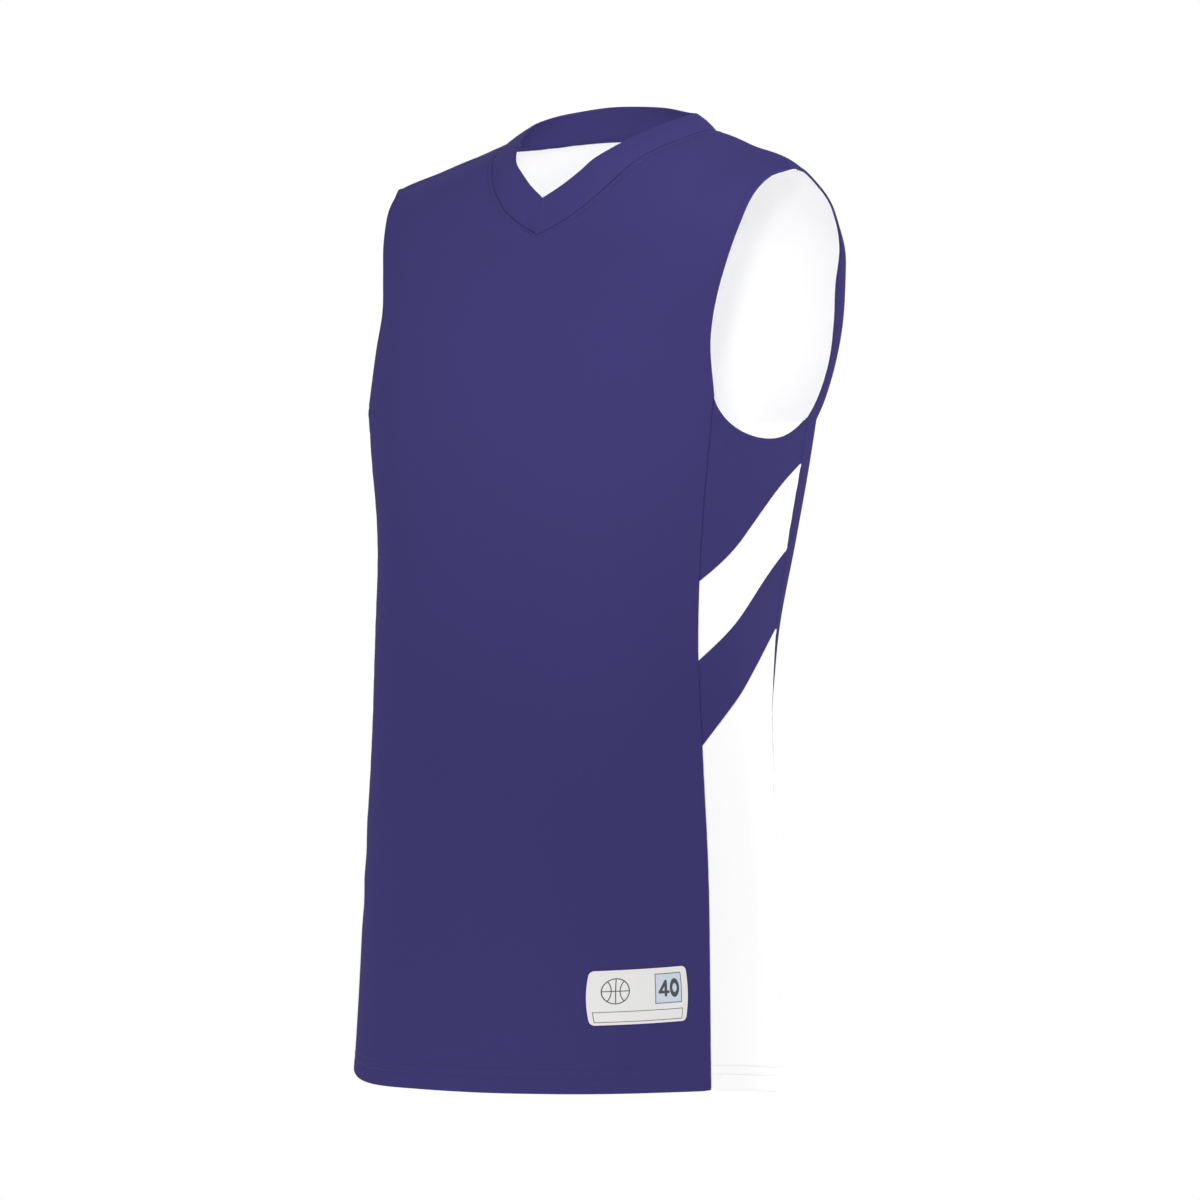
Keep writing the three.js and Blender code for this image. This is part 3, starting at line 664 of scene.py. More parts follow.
@dataclass
class BodyPanel:
    """The front or the back of the body: one piece from the hem to the shoulder seams."""

    figure: Figure
    name: str
    is_back: bool
    flat: tuple[float, float]
    area: float
    middle: int = 42
    lower_rows: int = 96
    chest_rows: int = 26
    neck_rows: int = 26
    samples: int = 241
    armpit_step: float = 0.5
    shoulder_curl: float = 2.2
    curl_reach: tuple[float, float] = (9.0, 14.0)
    blend_rows: float = 14.0

    def levels(self) -> tuple[float, float, float]:
        """The stations of this panel's hem, armpit and neck point."""
        f = self.figure
        if self.is_back:
            return f.back_hem, f.back_armpit, f.station["back neck"]
        return f.front_hem, f.front_armpit, f.station["V point"]

    def row_ends(self, layer: Layer) -> tuple[Array, Array, Array, Array, int, int]:
        """Where the grid's rows begin and end on the figure.

        Args:
            layer: the face whose edge distances are used.

        Returns:
            The across and station of the rows' inner ends, the stations of their outer ends, the heights that
            the hem and the shoulder seam give the rows, and the rows of the armpit and of the neck point.
        """
        hem, armpit, neck = self.levels()
        towards = -1.0 if self.is_back else 1.0
        edge = Edge.HEMMED.distances(layer)
        rise = abs(armpit - hem)
        low = edge[-1] + (rise - edge[-1]) * np.arange(1, self.lower_rows + 1) / self.lower_rows
        lower = hem + towards * np.concatenate([edge, low])
        armpit_row = len(lower) - 1
        chest = armpit + (neck - armpit) * (np.arange(self.chest_rows) / self.chest_rows)[1:]
        chest[0] = armpit + towards * self.armpit_step
        neck_row = armpit_row + self.chest_rows
        sewn = Edge.SEWN.distances(layer)

        first = float(CENTRE_BACK_PLACE if self.is_back else 0)
        fine = np.linspace(first, SHOULDER_PLACE, 120)
        across, station = Neckline(self.figure).places(fine)
        along = lengths(self.figure.point(across, station)[None])[0]
        steps = (along[-1] - sewn[-1]) * np.arange(1, self.neck_rows + 1) / self.neck_rows
        wanted = np.concatenate([steps, along[-1] - sewn[-2::-1]])
        wanted = np.concatenate([[0.0], wanted])
        inner_across = np.concatenate([np.zeros(neck_row), np.interp(wanted, along, across)])
        inner_station = np.concatenate([lower, chest, np.interp(wanted, along, station)])

        outer_fine = np.linspace(armpit, self.figure.station["shoulder"], 300)
        outer_along = lengths(self.figure.point(np.ones(300), outer_fine)[None])[0]
        upper_rows = len(inner_station) - 1 - armpit_row - (EDGE_POINTS - 1)
        steps = (outer_along[-1] - sewn[-1]) * np.arange(1, upper_rows + 1) / upper_rows
        steps[0] = self.armpit_step
        wanted = np.concatenate([steps, outer_along[-1] - sewn[-2::-1]])
        outer_station = np.concatenate([lower, np.interp(wanted, outer_along, outer_fine)])

        heights = np.zeros(len(inner_station))
        heights[: Edge.HEMMED.points] = Edge.HEMMED.heights(layer)
        heights[-EDGE_POINTS:] = Edge.SEWN.heights(layer)[::-1]
        return inner_across, inner_station, outer_station, heights, armpit_row, neck_row

    def lowered(self, side: int, across: Array, station: Array) -> Array:
        """The stations of places on one half, let down towards the hem where it hangs lower."""
        if self.is_back:
            return station
        from_hem = (station - self.levels()[0]) / HEM_DIP_REACH
        return station - hem_dip(side, across) * np.exp(-(from_hem**2))

    def grid(self, layer: Layer, side: int) -> tuple[Cloth, int, int]:
        """One face of one half of the panel, with the rows of the armpit and of the neck point."""
        across0, station0, station1, heights, armpit_row, neck_row = self.row_ends(layer)
        rows = len(station0)
        row = np.arange(rows)
        t = np.linspace(0, 1, self.samples)[None]
        a = across0[:, None] + (1 - across0[:, None]) * t
        s = station0[:, None] + (station1 - station0)[:, None] * t
        along = lengths(self.figure.point(a, s))
        length = along[:, -1]

        sewn_rows = row <= armpit_row
        outer_d = np.where(sewn_rows[:, None], Edge.SEWN.distances(layer), Edge.TURNED.distances(layer))
        outer_h = np.where(sewn_rows[:, None], Edge.SEWN.heights(layer), Edge.TURNED.heights(layer))
        even = (length[:, None] - outer_d[:, -1:]) * np.arange(EDGE_POINTS)[None] / (self.middle + EDGE_POINTS)
        near = np.clip(1 - (neck_row - row) / self.blend_rows, 0, 1)[:, None]
        inner_d = even * (1 - near) + Edge.TOPSTITCHED.distances(layer) * near
        on_neck = (row >= neck_row).astype(float)[:, None]
        inner_h = Edge.TOPSTITCHED.heights(layer) * on_neck
        d = spread(length, inner_d, outer_d, self.middle)
        h = np.zeros(d.shape)
        h[:, :EDGE_POINTS] += inner_h
        h[:, -EDGE_POINTS:] += outer_h[:, ::-1]
        h = np.maximum(h + heights[:, None], FIN_DEPTH + (CLOTH if layer is Layer.INNER else 0))

        tt = invert(np.broadcast_to(t, along.shape), along, d)
        a = across0[:, None] + (1 - across0[:, None]) * tt
        s = station0[:, None] + (station1 - station0)[:, None] * tt
        s = self.lowered(side, a, s)
        surface = self.figure.folded(side)
        p = surface(a, s)
        n = normals_of(surface, a, s)
        n[a == 0, 0] = 0
        n = unit(n)
        if layer is Layer.INNER:
            h = h - CLOTH
        h = h + hem_ripple(p, np.abs(s - self.levels()[0]))
        reach = self.curl_reach
        from_tip = np.hypot((length[:, None] - d) / reach[0], (s - self.figure.station["shoulder"]) / reach[1])
        h = h - self.shoulder_curl * np.exp(-(from_tip**2))
        start = self.figure.point(across0, station0)[:, :1]
        uv = np.stack([start + d, s], -1)
        sew = np.where(sewn_rows[:, None], length[:, None] - d, FAR_FROM_SEAMS)
        sew = np.minimum(sew, np.where(on_neck > 0, d, FAR_FROM_SEAMS))
        h = h + pucker(p, sew)
        return Cloth(p + n * h[..., None], uv, sew), armpit_row, neck_row

    def build(self, materials: Sequence[bpy.types.Material]) -> bpy.types.Object:
        """Makes the panel."""
        piece = PieceMesh(self.name)
        for side in (1, -1):
            outer, armpit_row, neck_row = self.grid(Layer.OUTER, side)
            inner, _, _ = self.grid(Layer.INNER, side)
            last_row, last_column = outer.points.shape[0] - 1, outer.points.shape[1] - 1
            rim = [(0, j) for j in range(last_column)] + [(i, last_column) for i in range(last_row)]
            rim += [(last_row, j) for j in range(last_column, 0, -1)]
            rim += [(i, 0) for i in range(last_row, neck_row - 1, -1)]
            i, j = np.array(rim).T
            turned = (i == 0) | ((j == last_column) & (i > armpit_row) & (i < last_row))
            piece.shell(outer, inner, rim, turned.astype(float), side)
        return piece.build(materials)

    def hem_seam(self, side: int, distance: float, lift: float) -> tuple[Array, Array]:
        """A row of sewing at a distance from the hem on one half, and the way out of the cloth."""
        surface = self.figure.folded(side)
        station = self.levels()[0] + (-1 if self.is_back else 1) * distance
        a = np.linspace(0.0, 0.985, SEWING_SAMPLES)
        s = self.lowered(side, a, np.full(SEWING_SAMPLES, station))
        p, n = surface(a, s), normals_of(surface, a, s)
        mirror = np.array([side, 1, 1], float)
        ripple = hem_ripple(p, np.full(SEWING_SAMPLES, distance))
        return (p + n * (lift + ripple[:, None])) * mirror, n * mirror


@dataclass
class SideBlock:
    """One colour block of a side panel, between two joins across it."""

    figure: Figure
    name: str
    wearer_side: int
    bottom: str
    top: str
    flat: tuple[float, float]
    area: float
    middle: int = 26
    rows: int = 30

    def height(self, line: str, across: Array) -> Array:
        """The heights of a join, of the hem or of the armhole across the panel."""
        z = self.figure.edge_height
        if line == "hem":
            level = z["front hem"] + (z["back hem"] - z["front hem"]) * across
            return level - hem_dip(self.wearer_side, 1 + across)
        if line == "armhole":
            t = np.linspace(0, 1, 400)
            return np.interp(across, bezier(ARMHOLE_BOTTOM["across"], t), bezier(ARMHOLE_BOTTOM["height"], t))
        front, back, bow, wave = STRIPE_JOINS[line]
        wander = 4 * bow * across * (1 - across) - wave * np.sin(2 * math.pi * across)
        return front + (back - front) * across + wander

    def rise(self, height: Array, across: Array) -> Array:
        """How many millimetres up the panel's own measure heights lie."""
        z = self.figure.edge_height
        bottom = z["front hem"] + (z["back hem"] - z["front hem"]) * across
        top = z["front armpit"] + (z["back armpit"] - z["front armpit"]) * across
        return (height - bottom) / (top - bottom) * (z["front armpit"] - z["front hem"])

    def grid(self, layer: Layer) -> Cloth:
        """One face of the block."""
        surface = self.figure.side_folded(self.wearer_side)
        sewn = Edge.SEWN.distances(layer)[None]
        t = np.linspace(0, 1, 161)
        centre = (self.height(self.bottom, t) + self.height(self.top, t)) / 2
        along = lengths(surface(t, self.rise(centre, t))[None])
        d = spread(along[:, -1], sewn, sewn, self.middle)
        across = invert(t[None], along, d)[0]
        low, high = self.height(self.bottom, across), self.height(self.top, across)
        low_edge = Edge.HEMMED if self.bottom == "hem" else Edge.SEWN
        high_edge = Edge.TURNED if self.top == "armhole" else Edge.SEWN
        count = len(across)
        up = spread(
            high - low,
            np.repeat(low_edge.distances(layer)[None], count, 0),
            np.repeat(high_edge.distances(layer)[None], count, 0),
            self.rows,
        ).T
        a = np.broadcast_to(across[None], up.shape)
        b = self.rise(low[None] + up, a)
        h = np.zeros(up.shape)
        h[:, :EDGE_POINTS] += Edge.SEWN.heights(layer)[None]
        h[:, -EDGE_POINTS:] += Edge.SEWN.heights(layer)[None, ::-1]
        h[: low_edge.points] += low_edge.heights(layer)[:, None]
        h[-EDGE_POINTS:] += high_edge.heights(layer)[::-1, None]
        h = np.maximum(h, FIN_DEPTH + (CLOTH if layer is Layer.INNER else 0))
        if layer is Layer.INNER:
            h = h - CLOTH
        p, n = surface(a, b), normals_of(surface, a, b)
        if low_edge is Edge.HEMMED:
            h = h + hem_ripple(p, up)
        width = along[0, -1]
        uv = np.stack([200 + np.broadcast_to(d, up.shape), b], -1)
        sew = np.minimum(np.broadcast_to(d, up.shape), width - np.broadcast_to(d, up.shape))
        if low_edge is Edge.SEWN:
            sew = np.minimum(sew, up)
        if high_edge is Edge.SEWN:
            sew = np.minimum(sew, (high - low)[None] - up)
        h = h + pucker(p, sew)
        return Cloth(p + n * h[..., None], uv, sew)

    def build(self, materials: Sequence[bpy.types.Material]) -> bpy.types.Object:
        """Makes the block."""
        outer, inner = self.grid(Layer.OUTER), self.grid(Layer.INNER)
        rim = perimeter(outer.points.shape[0] - 1, outer.points.shape[1] - 1)
        rows = np.array(rim)[:, 0]
        turned = ((rows == 0) & (self.bottom == "hem")) | ((rows == rows.max()) & (self.top == "armhole"))
        piece = PieceMesh(self.name)
        piece.shell(outer, inner, rim, turned.astype(float), self.wearer_side)
        return piece.build(materials)

    def hem_seam(self, distance: float, lift: float) -> tuple[Array, Array]:
        """A row of sewing at a distance from the hem, and the way out of the cloth."""
        surface = self.figure.side_folded(self.wearer_side)
        a = np.linspace(0.015, 0.985, SEWING_SAMPLES)
        b = self.rise(self.height("hem", a) + distance, a)
        p, n = surface(a, b), normals_of(surface, a, b)
        mirror = np.array([self.wearer_side, 1, 1], float)
        ripple = hem_ripple(p, np.full(SEWING_SAMPLES, distance))
        return (p + n * (lift + ripple[:, None])) * mirror, n * mirror


@dataclass
class CollarBand:
    """The folded band round the neck, with its mitre at the V and its inner layer turned down inside."""

    figure: Figure
    name: str
    flat: tuple[float, float]
    area: float
    fold_radius: float = BAND_CLOTH / 2
    facing_places: tuple[float, ...] = (20, 35, 62, 81, 92, 105, 125)
    facing: tuple[float, ...] = (4.2, 3.0, 1.0, 4.0, 9.5, 18.0, 15.0)
    rows: int = 76

    def seam_rows(self, first: float) -> Array:
        """The places of the rows along the neckline, close together at the mitre."""
        near = np.array([0, 0.006, 0.014, 0.03, 0.06, 0.1, 0.15]) if first == 0 else np.array([0.0])
        even = near[-1] + (1 - near[-1]) * np.arange(1, self.rows + 1) / self.rows
        return first + (SHOULDER_PLACE - first) * np.concatenate([near, even])

    def frames(self, side: int) -> dict[str, Array]:
        """The seam, the fold, the ways out of the cloth and the way down inside, for each row of one half."""
        neckline = Neckline(self.figure)
        surface = self.figure.folded(side)
        parts = []
        for first in (0.0, float(CENTRE_BACK_PLACE)):
            along = self.seam_rows(first)
            across, station = neckline.places(along)
            seam, out = surface(across, station), normals_of(surface, across, station)
            _, fold_track, tilt_track = neckline.tracks()
            fold = fold_track.at(along)
            fold[:, 2] -= side * tilt_track.at(along)
            parts.append((seam, out, fold))
        front, back = parts
        seam, out, fold = (np.concatenate([f, b[-2::-1]]) for f, b in zip(front, back))
        arc = lengths(seam[None])[0]
        tangent = unit(np.gradient(seam, arc, axis=0))
        tangent[-1] = (-1, 0, 0)
        rise = fold - seam
        width = np.linalg.norm(rise, axis=1)
        up = unit(rise)
        band_out = unit(np.cross(tangent, up))
        band_out *= np.sign((band_out * out).sum(-1, keepdims=True))
        away = unit(np.cross(tangent, out))
        away *= -np.sign((away * up).sum(-1, keepdims=True))
        reach = np.ones(len(arc))
        for end in (0, -1):
            square = away[end] * np.array([0, 1, 1])
            reach[end] = 1 / np.linalg.norm(square)
            away[end] = unit(square)
            out[end], band_out[end] = unit(out[end] * [0, 1, 1]), unit(band_out[end] * [0, 1, 1])
        return {"seam": seam, "up": up, "width": width, "band_out": band_out, "out": out, "away": away,
                "reach": reach, "arc": arc}

    def section(self, f: dict[str, Array]) -> tuple[Array, Array, Array]:
        """The closed loop of points round each row, with each one's length round and distance from the seam."""
        seam, up, out, band_out = f["seam"], f["up"], f["out"], f["band_out"]
        straight = f["width"] - self.fold_radius
        loop, distances = [], []

        def on_band(distance: Array, height: Array) -> Array:
            b = np.clip(distance / f["width"], 0, 1)
            rolled = BAND_ROLL * 4 * b * (1 - b) + height
            return seam + up * distance[:, None] + band_out * rolled[:, None]

        ones = np.ones(len(straight))
        facing = np.interp(f["arc"][-1] - f["arc"], self.facing_places, self.facing)
        edge_d, edge_h = Edge.BUTTED.distances(Layer.OUTER), Edge.BUTTED.heights(Layer.OUTER)
        mitre = -0.4 * np.exp(-((f["arc"] / 0.5) ** 2)) + 0.2 * np.exp(-(((f["arc"] - 2.2) / 1.2) ** 2))
        for d, h in zip(edge_d, edge_h):
            loop.append(on_band(d * ones, h * ones + mitre))
            distances.append(d)
        for t in np.arange(1, 9) / 8:
            d = edge_d[-1] + (straight - edge_d[-1]) * t
            loop.append(on_band(d, mitre * (1 - t**4)))
            distances.append(FAR_FROM_SEAMS)
        middle = on_band(straight, -self.fold_radius * ones)
        for angle in np.radians([22.5, 45, 67.5, 90, 112.5, 135, 157.5]):
            loop.append(middle + (band_out * math.cos(angle) + up * math.sin(angle)) * self.fold_radius)
            distances.append(FAR_FROM_SEAMS)
        for t in np.arange(0, 9) / 8:
            loop.append(on_band(straight + (1.2 - straight) * t, -2 * self.fold_radius * ones))
            distances.append(FAR_FROM_SEAMS)
        for q, h in ((1.8, -2.75), (3.4, -2.75), (5.0, -2.75), (6.4, -2.8), (7.0, -2.65), (7.2, -2.3), (7.0, -1.95),
                     (6.0, -1.8), (4.0, -1.75), (2.0, -1.7), (0.4, -1.65)):
            loop.append(seam + f["away"] * (q * f["reach"] * facing / 7)[:, None] + out * h)
            distances.append(FAR_FROM_SEAMS)
        points = np.stack(loop, 1)
        sew = np.broadcast_to(np.array(distances), points.shape[:2])
        return points, lengths(points), sew

    def build(self, materials: Sequence[bpy.types.Material]) -> bpy.types.Object:
        """Makes the band."""
        piece = PieceMesh(self.name)
        for side in (1, -1):
            f = self.frames(side)
            points, around, sew = self.section(f)
            points[[0, -1], :, 0] = 0
            uv = np.stack([around, np.broadcast_to(f["arc"][:, None], around.shape)], -1)
            numbers = piece.add(points * np.array([side, 1.0, 1.0]), uv, sew)
            piece.quads(np.concatenate([numbers, numbers[:, :1]], 1), 0)
        return piece.build(materials)

    def topstitch(self, distance: float, lift: float) -> tuple[Array, Array]:
        """The row of sewing on the body outside the seam, all the way round, and the way out of the cloth."""
        halves = []
        for side in (1, -1):
            f = self.frames(side)
            path = f["seam"] + f["away"] * (distance * f["reach"])[:, None] + f["out"] * lift
            mirror = np.array([side, 1, 1], float)
            halves.append((path * mirror, f["out"] * mirror))
        left, right = halves
        return (
            np.concatenate([left[0], right[0][-2::-1]]),
            np.concatenate([left[1], right[1][-2::-1]]),
        )


@dataclass
class HipLabel:
    """The woven label sewn on the front near the hem."""

    figure: Figure
    name: str
    flat: tuple[float, float]
    area: float
    corner: float = 3.2
    thickness: float = 0.7
    clearance: float = 0.2
    stitch_inset: float = 1.7

    def place(self, u: Array, v: Array) -> tuple[Array, Array]:
        """The place on the front of a point of the label, u across and v up from 0 to 1."""
        c = LABEL_CORNERS
        station = self.figure.station_at(c["height"], self.figure.front_hem, self.figure.front_armpit)
        low_a, high_a = (c["across"][i] + (c["across"][i + 1] - c["across"][i]) * u for i in (0, 2))
        low_s, high_s = (station[i] + (station[i + 1] - station[i]) * u for i in (0, 2))
        bow = LABEL_BOW * (2 * u - 1) * 4 * v * (1 - v)
        return low_a + (high_a - low_a) * v + bow, low_s + (high_s - low_s) * v

    def on_label(self, x: Array, y: Array, height: Array) -> tuple[Array, Array]:
        """Points over the label's cloth at millimetres from its middle, and the way out of the cloth."""
        half_x, half_y = self.flat[0] / MM / 2, self.flat[1] / MM / 2
        over = np.clip((np.abs(x) - half_x + self.corner) / self.corner, 0, 1)
        above = np.clip((np.abs(y) - half_y + self.corner) / self.corner, 0, 1)
        x = x - np.sign(x) * over * self.corner * (1 - np.sqrt(1 - above**2 / 2))
        y = y - np.sign(y) * above * self.corner * (1 - np.sqrt(1 - over**2 / 2))
        a, s = self.place(x / (2 * half_x) + 0.5, y / (2 * half_y) + 0.5)
        surface = self.figure.folded(1)
        n = normals_of(surface, a, s)
        return surface(a, s) + n * height[..., None], n

    def build(self, materials: Sequence[bpy.types.Material]) -> bpy.types.Object:
        """Makes the label."""
        half = np.array(self.flat) / MM / 2
        near = np.array([0, 0.2, 0.5, 1.0, 1.7, 2.4, 3.2])
        lines = []
        for reach, count in zip(half, (26, 14)):
            middle = np.linspace(-reach + near[-1], reach - near[-1], count)
            lines.append(np.concatenate([-reach + near[:-1], middle, reach - near[-2::-1]]))
        x, y = np.meshgrid(*lines)
        inset = np.minimum(half[0] - np.abs(x), half[1] - np.abs(y))
        top = np.interp(inset, near, [0.45, 0.62, 0.7, 0.66, 0.48, 0.64, 0.7])
        uv = np.stack([x, y], -1)
        cloths = []
        for height in (self.clearance + top, np.full(x.shape, self.clearance)):
            points, _ = self.on_label(x, y, height)
            cloths.append(Cloth(points, uv, np.full(x.shape, FAR_FROM_SEAMS)))
        piece = PieceMesh(self.name)
        rim = perimeter(x.shape[0] - 1, x.shape[1] - 1)
        piece.shell(cloths[0], cloths[1], rim, np.full(len(rim), 0.3), 1)
        return piece.build(materials)

    def stitches(self, lift: float) -> tuple[Array, Array]:
        """The row of sewing inside the label's edge, and the way out of the cloth."""
        half_x, half_y = (np.array(self.flat) / MM / 2) - self.stitch_inset
        corner = self.corner - self.stitch_inset + 0.8
        turns = np.radians(np.arange(0, 91, 15))
        path = []
        for start, (sx, sy) in zip((0, 90, 180, 270), ((1, 1), (-1, 1), (-1, -1), (1, -1))):
            centre = np.array([sx * (half_x - corner), sy * (half_y - corner)])
            angle = turns + math.radians(start)
            path.append(centre + corner * np.stack([np.cos(angle), np.sin(angle)], -1))
        path = np.concatenate(path)
        path = np.concatenate([path, path[:1]])
        along = lengths(path[None])[0]
        even = np.linspace(0, along[-1], 240)
        x, y = np.interp(even, along, path[:, 0]), np.interp(even, along, path[:, 1])
        return self.on_label(x, y, np.full(len(x), self.clearance + lift))


Reckoned = "Wire | float"


@dataclass(frozen=True)
class Wire:
    """A value in a node tree that can be reckoned with."""

    graph: "Graph"
    socket: bpy.types.NodeSocket

    def __add__(self, other: Reckoned) -> "Wire":
        """The sum."""
        return self.graph.maths("ADD", self, other)

    __radd__ = __add__

    def __sub__(self, other: Reckoned) -> "Wire":
        """The difference."""
        return self.graph.maths("SUBTRACT", self, other)

    def __rsub__(self, other: Reckoned) -> "Wire":
        """The difference, with this value taken away."""
        return self.graph.maths("SUBTRACT", other, self)

    def __mul__(self, other: Reckoned) -> "Wire":
        """The product."""
        return self.graph.maths("MULTIPLY", self, other)

    __rmul__ = __mul__

    def __truediv__(self, other: Reckoned) -> "Wire":
        """The quotient."""
        return self.graph.maths("DIVIDE", self, other)

    def __abs__(self) -> "Wire":
        """The size without the sign."""
        return self.graph.maths("ABSOLUTE", self)


class Graph:
    """Adds nodes to a tree."""

    def __init__(self, tree: bpy.types.NodeTree) -> None:
        """Starts on an emptied tree."""
        self.tree = tree
        tree.nodes.clear()

    def node(self, kind: str, inputs: dict[str | int, Any] | None = None, **settings: Any) -> bpy.types.Node:
        """Adds a node.

        Args:
            kind: the node's type.
            inputs: values or wires for its inputs, by name or number.
            **settings: its own settings, which are set first.

        Returns:
            The node.
        """
        node = self.tree.nodes.new(kind)
        for name, value in settings.items():
            setattr(node, name, value)
        for key, value in (inputs or {}).items():
            if isinstance(value, Wire):
                self.tree.links.new(value.socket, node.inputs[key])
            elif value is not None:
                node.inputs[key].default_value = value
        return node

    def wire(self, kind: str, output: str | int, inputs: dict[str | int, Any] | None = None, **settings: Any) -> Wire:
        """Adds a node and gives one of its outputs."""
        return Wire(self, self.node(kind, inputs, **settings).outputs[output])

    def maths(self, operation: str, *values: Any) -> Wire:
        """A reckoning with up to three values."""
        return self.wire("ShaderNodeMath", 0, dict(enumerate(values)), operation=operation)

    def largest(self, first: Wire, *others: Wire) -> Wire:
        """The largest of some values."""
        return self.maths("MAXIMUM", first, self.largest(*others)) if others else first

    def mix(self, factor: Any, first: Any, second: Any) -> Wire:
        """A colour between two others."""
        return self.wire("ShaderNodeMix", 2, {0: factor, 6: first, 7: second}, data_type="RGBA")

    def step(self, value: Wire, low: float, high: float) -> Wire:
        """A soft step from 0 at low to 1 at high."""
        inputs = {"Value": value, "From Min": low, "From Max": high}
        return self.wire("ShaderNodeMapRange", 0, inputs, interpolation_type="SMOOTHSTEP")

    def noise(self, where: Wire, scale: float, detail: float = 2.0) -> Wire:
        """Soft noise round 0.5."""
        return self.wire("ShaderNodeTexNoise", 0, {"Vector": where, "Scale": scale, "Detail": detail})


@dataclass(frozen=True)
class KnitFinish:
    """A fine smooth knit: its colour, with painted shadow along its sewn seams, its loops and its sheen."""

    name: str
    colour: tuple[float, float, float]
    shade: float
    roughness: float
    wale: float = 1.1
    course: float = 0.82
    relief: float = 0.00006

    def material(self) -> bpy.types.Material:
        """Makes the material."""
        made = bpy.data.materials.new(self.name)
        made.use_nodes = True
        g = Graph(made.node_tree)
        knit = g.wire("ShaderNodeUVMap", 0, uv_map="knit")
        place = g.wire("ShaderNodeTexCoord", "Object")
        axes = g.node("ShaderNodeSeparateXYZ", {0: knit})
        x, y = (Wire(g, axes.outputs[i]) for i in (0, 1))
        leg = abs(g.maths("FRACT", x / self.wale) - 0.5)
        ridge = g.maths("SINE", leg * (4 * math.pi))
        loop = g.maths("SINE", (y / self.course + leg * 1.6) * (2 * math.pi))
        height = ridge * 0.5 + loop * 0.35
        fibre = g.noise(knit, 2.2, 3.0)
        broad = g.noise(place, 9.0, 2.0)
        # Painted shadow: within 1 mm of a sewn seam the colour is mixed a quarter of the way towards a darker shade,
        # standing in for the shade in the seam's groove
        sew = g.wire("ShaderNodeAttribute", "Fac", attribute_name="sew")
        seam = 1 - g.step(sew, 0.0, 1.0)
        dark = tuple(c * (1 - self.shade) for c in self.colour)
        pale = tuple(min(c * (1 + self.shade), 1.0) for c in self.colour)
        mixed = g.mix(fibre * 0.5 + broad * 0.5, (*dark, 1), (*pale, 1))
        seam_shadow_colour = tuple(c * 0.72 for c in self.colour)
        colour = g.mix(seam * 0.25, mixed, (*seam_shadow_colour, 1))
        bump = g.wire(
            "ShaderNodeBump", 0, {"Strength": 0.6, "Distance": self.relief, "Height": height + fibre * 0.6}
        )
        shader = g.wire("ShaderNodeBsdfPrincipled", 0, {
            "Base Color": colour, "Roughness": self.roughness, "Specular IOR Level": 0.02, "Normal": bump,
        })
        g.node("ShaderNodeOutputMaterial", {0: shader})
        return made


@dataclass(frozen=True)
class ThreadFinish:
    """Polyester sewing thread."""

    name: str
    colour: tuple[float, float, float]

    def material(self) -> bpy.types.Material:
        """Makes the material."""
        made = bpy.data.materials.new(self.name)
        made.use_nodes = True
        g = Graph(made.node_tree)
        place = g.wire("ShaderNodeTexCoord", "Object")
        twist = g.noise(place, 900.0, 1.0)
        dark = tuple(c * 0.86 for c in self.colour)
        colour = g.mix(twist, (*dark, 1), (*self.colour, 1))
        shader = g.wire("ShaderNodeBsdfPrincipled", 0, {
            "Base Color": colour, "Roughness": 0.5, "Specular IOR Level": 0.3,
        })
        g.node("ShaderNodeOutputMaterial", {0: shader})
        return made


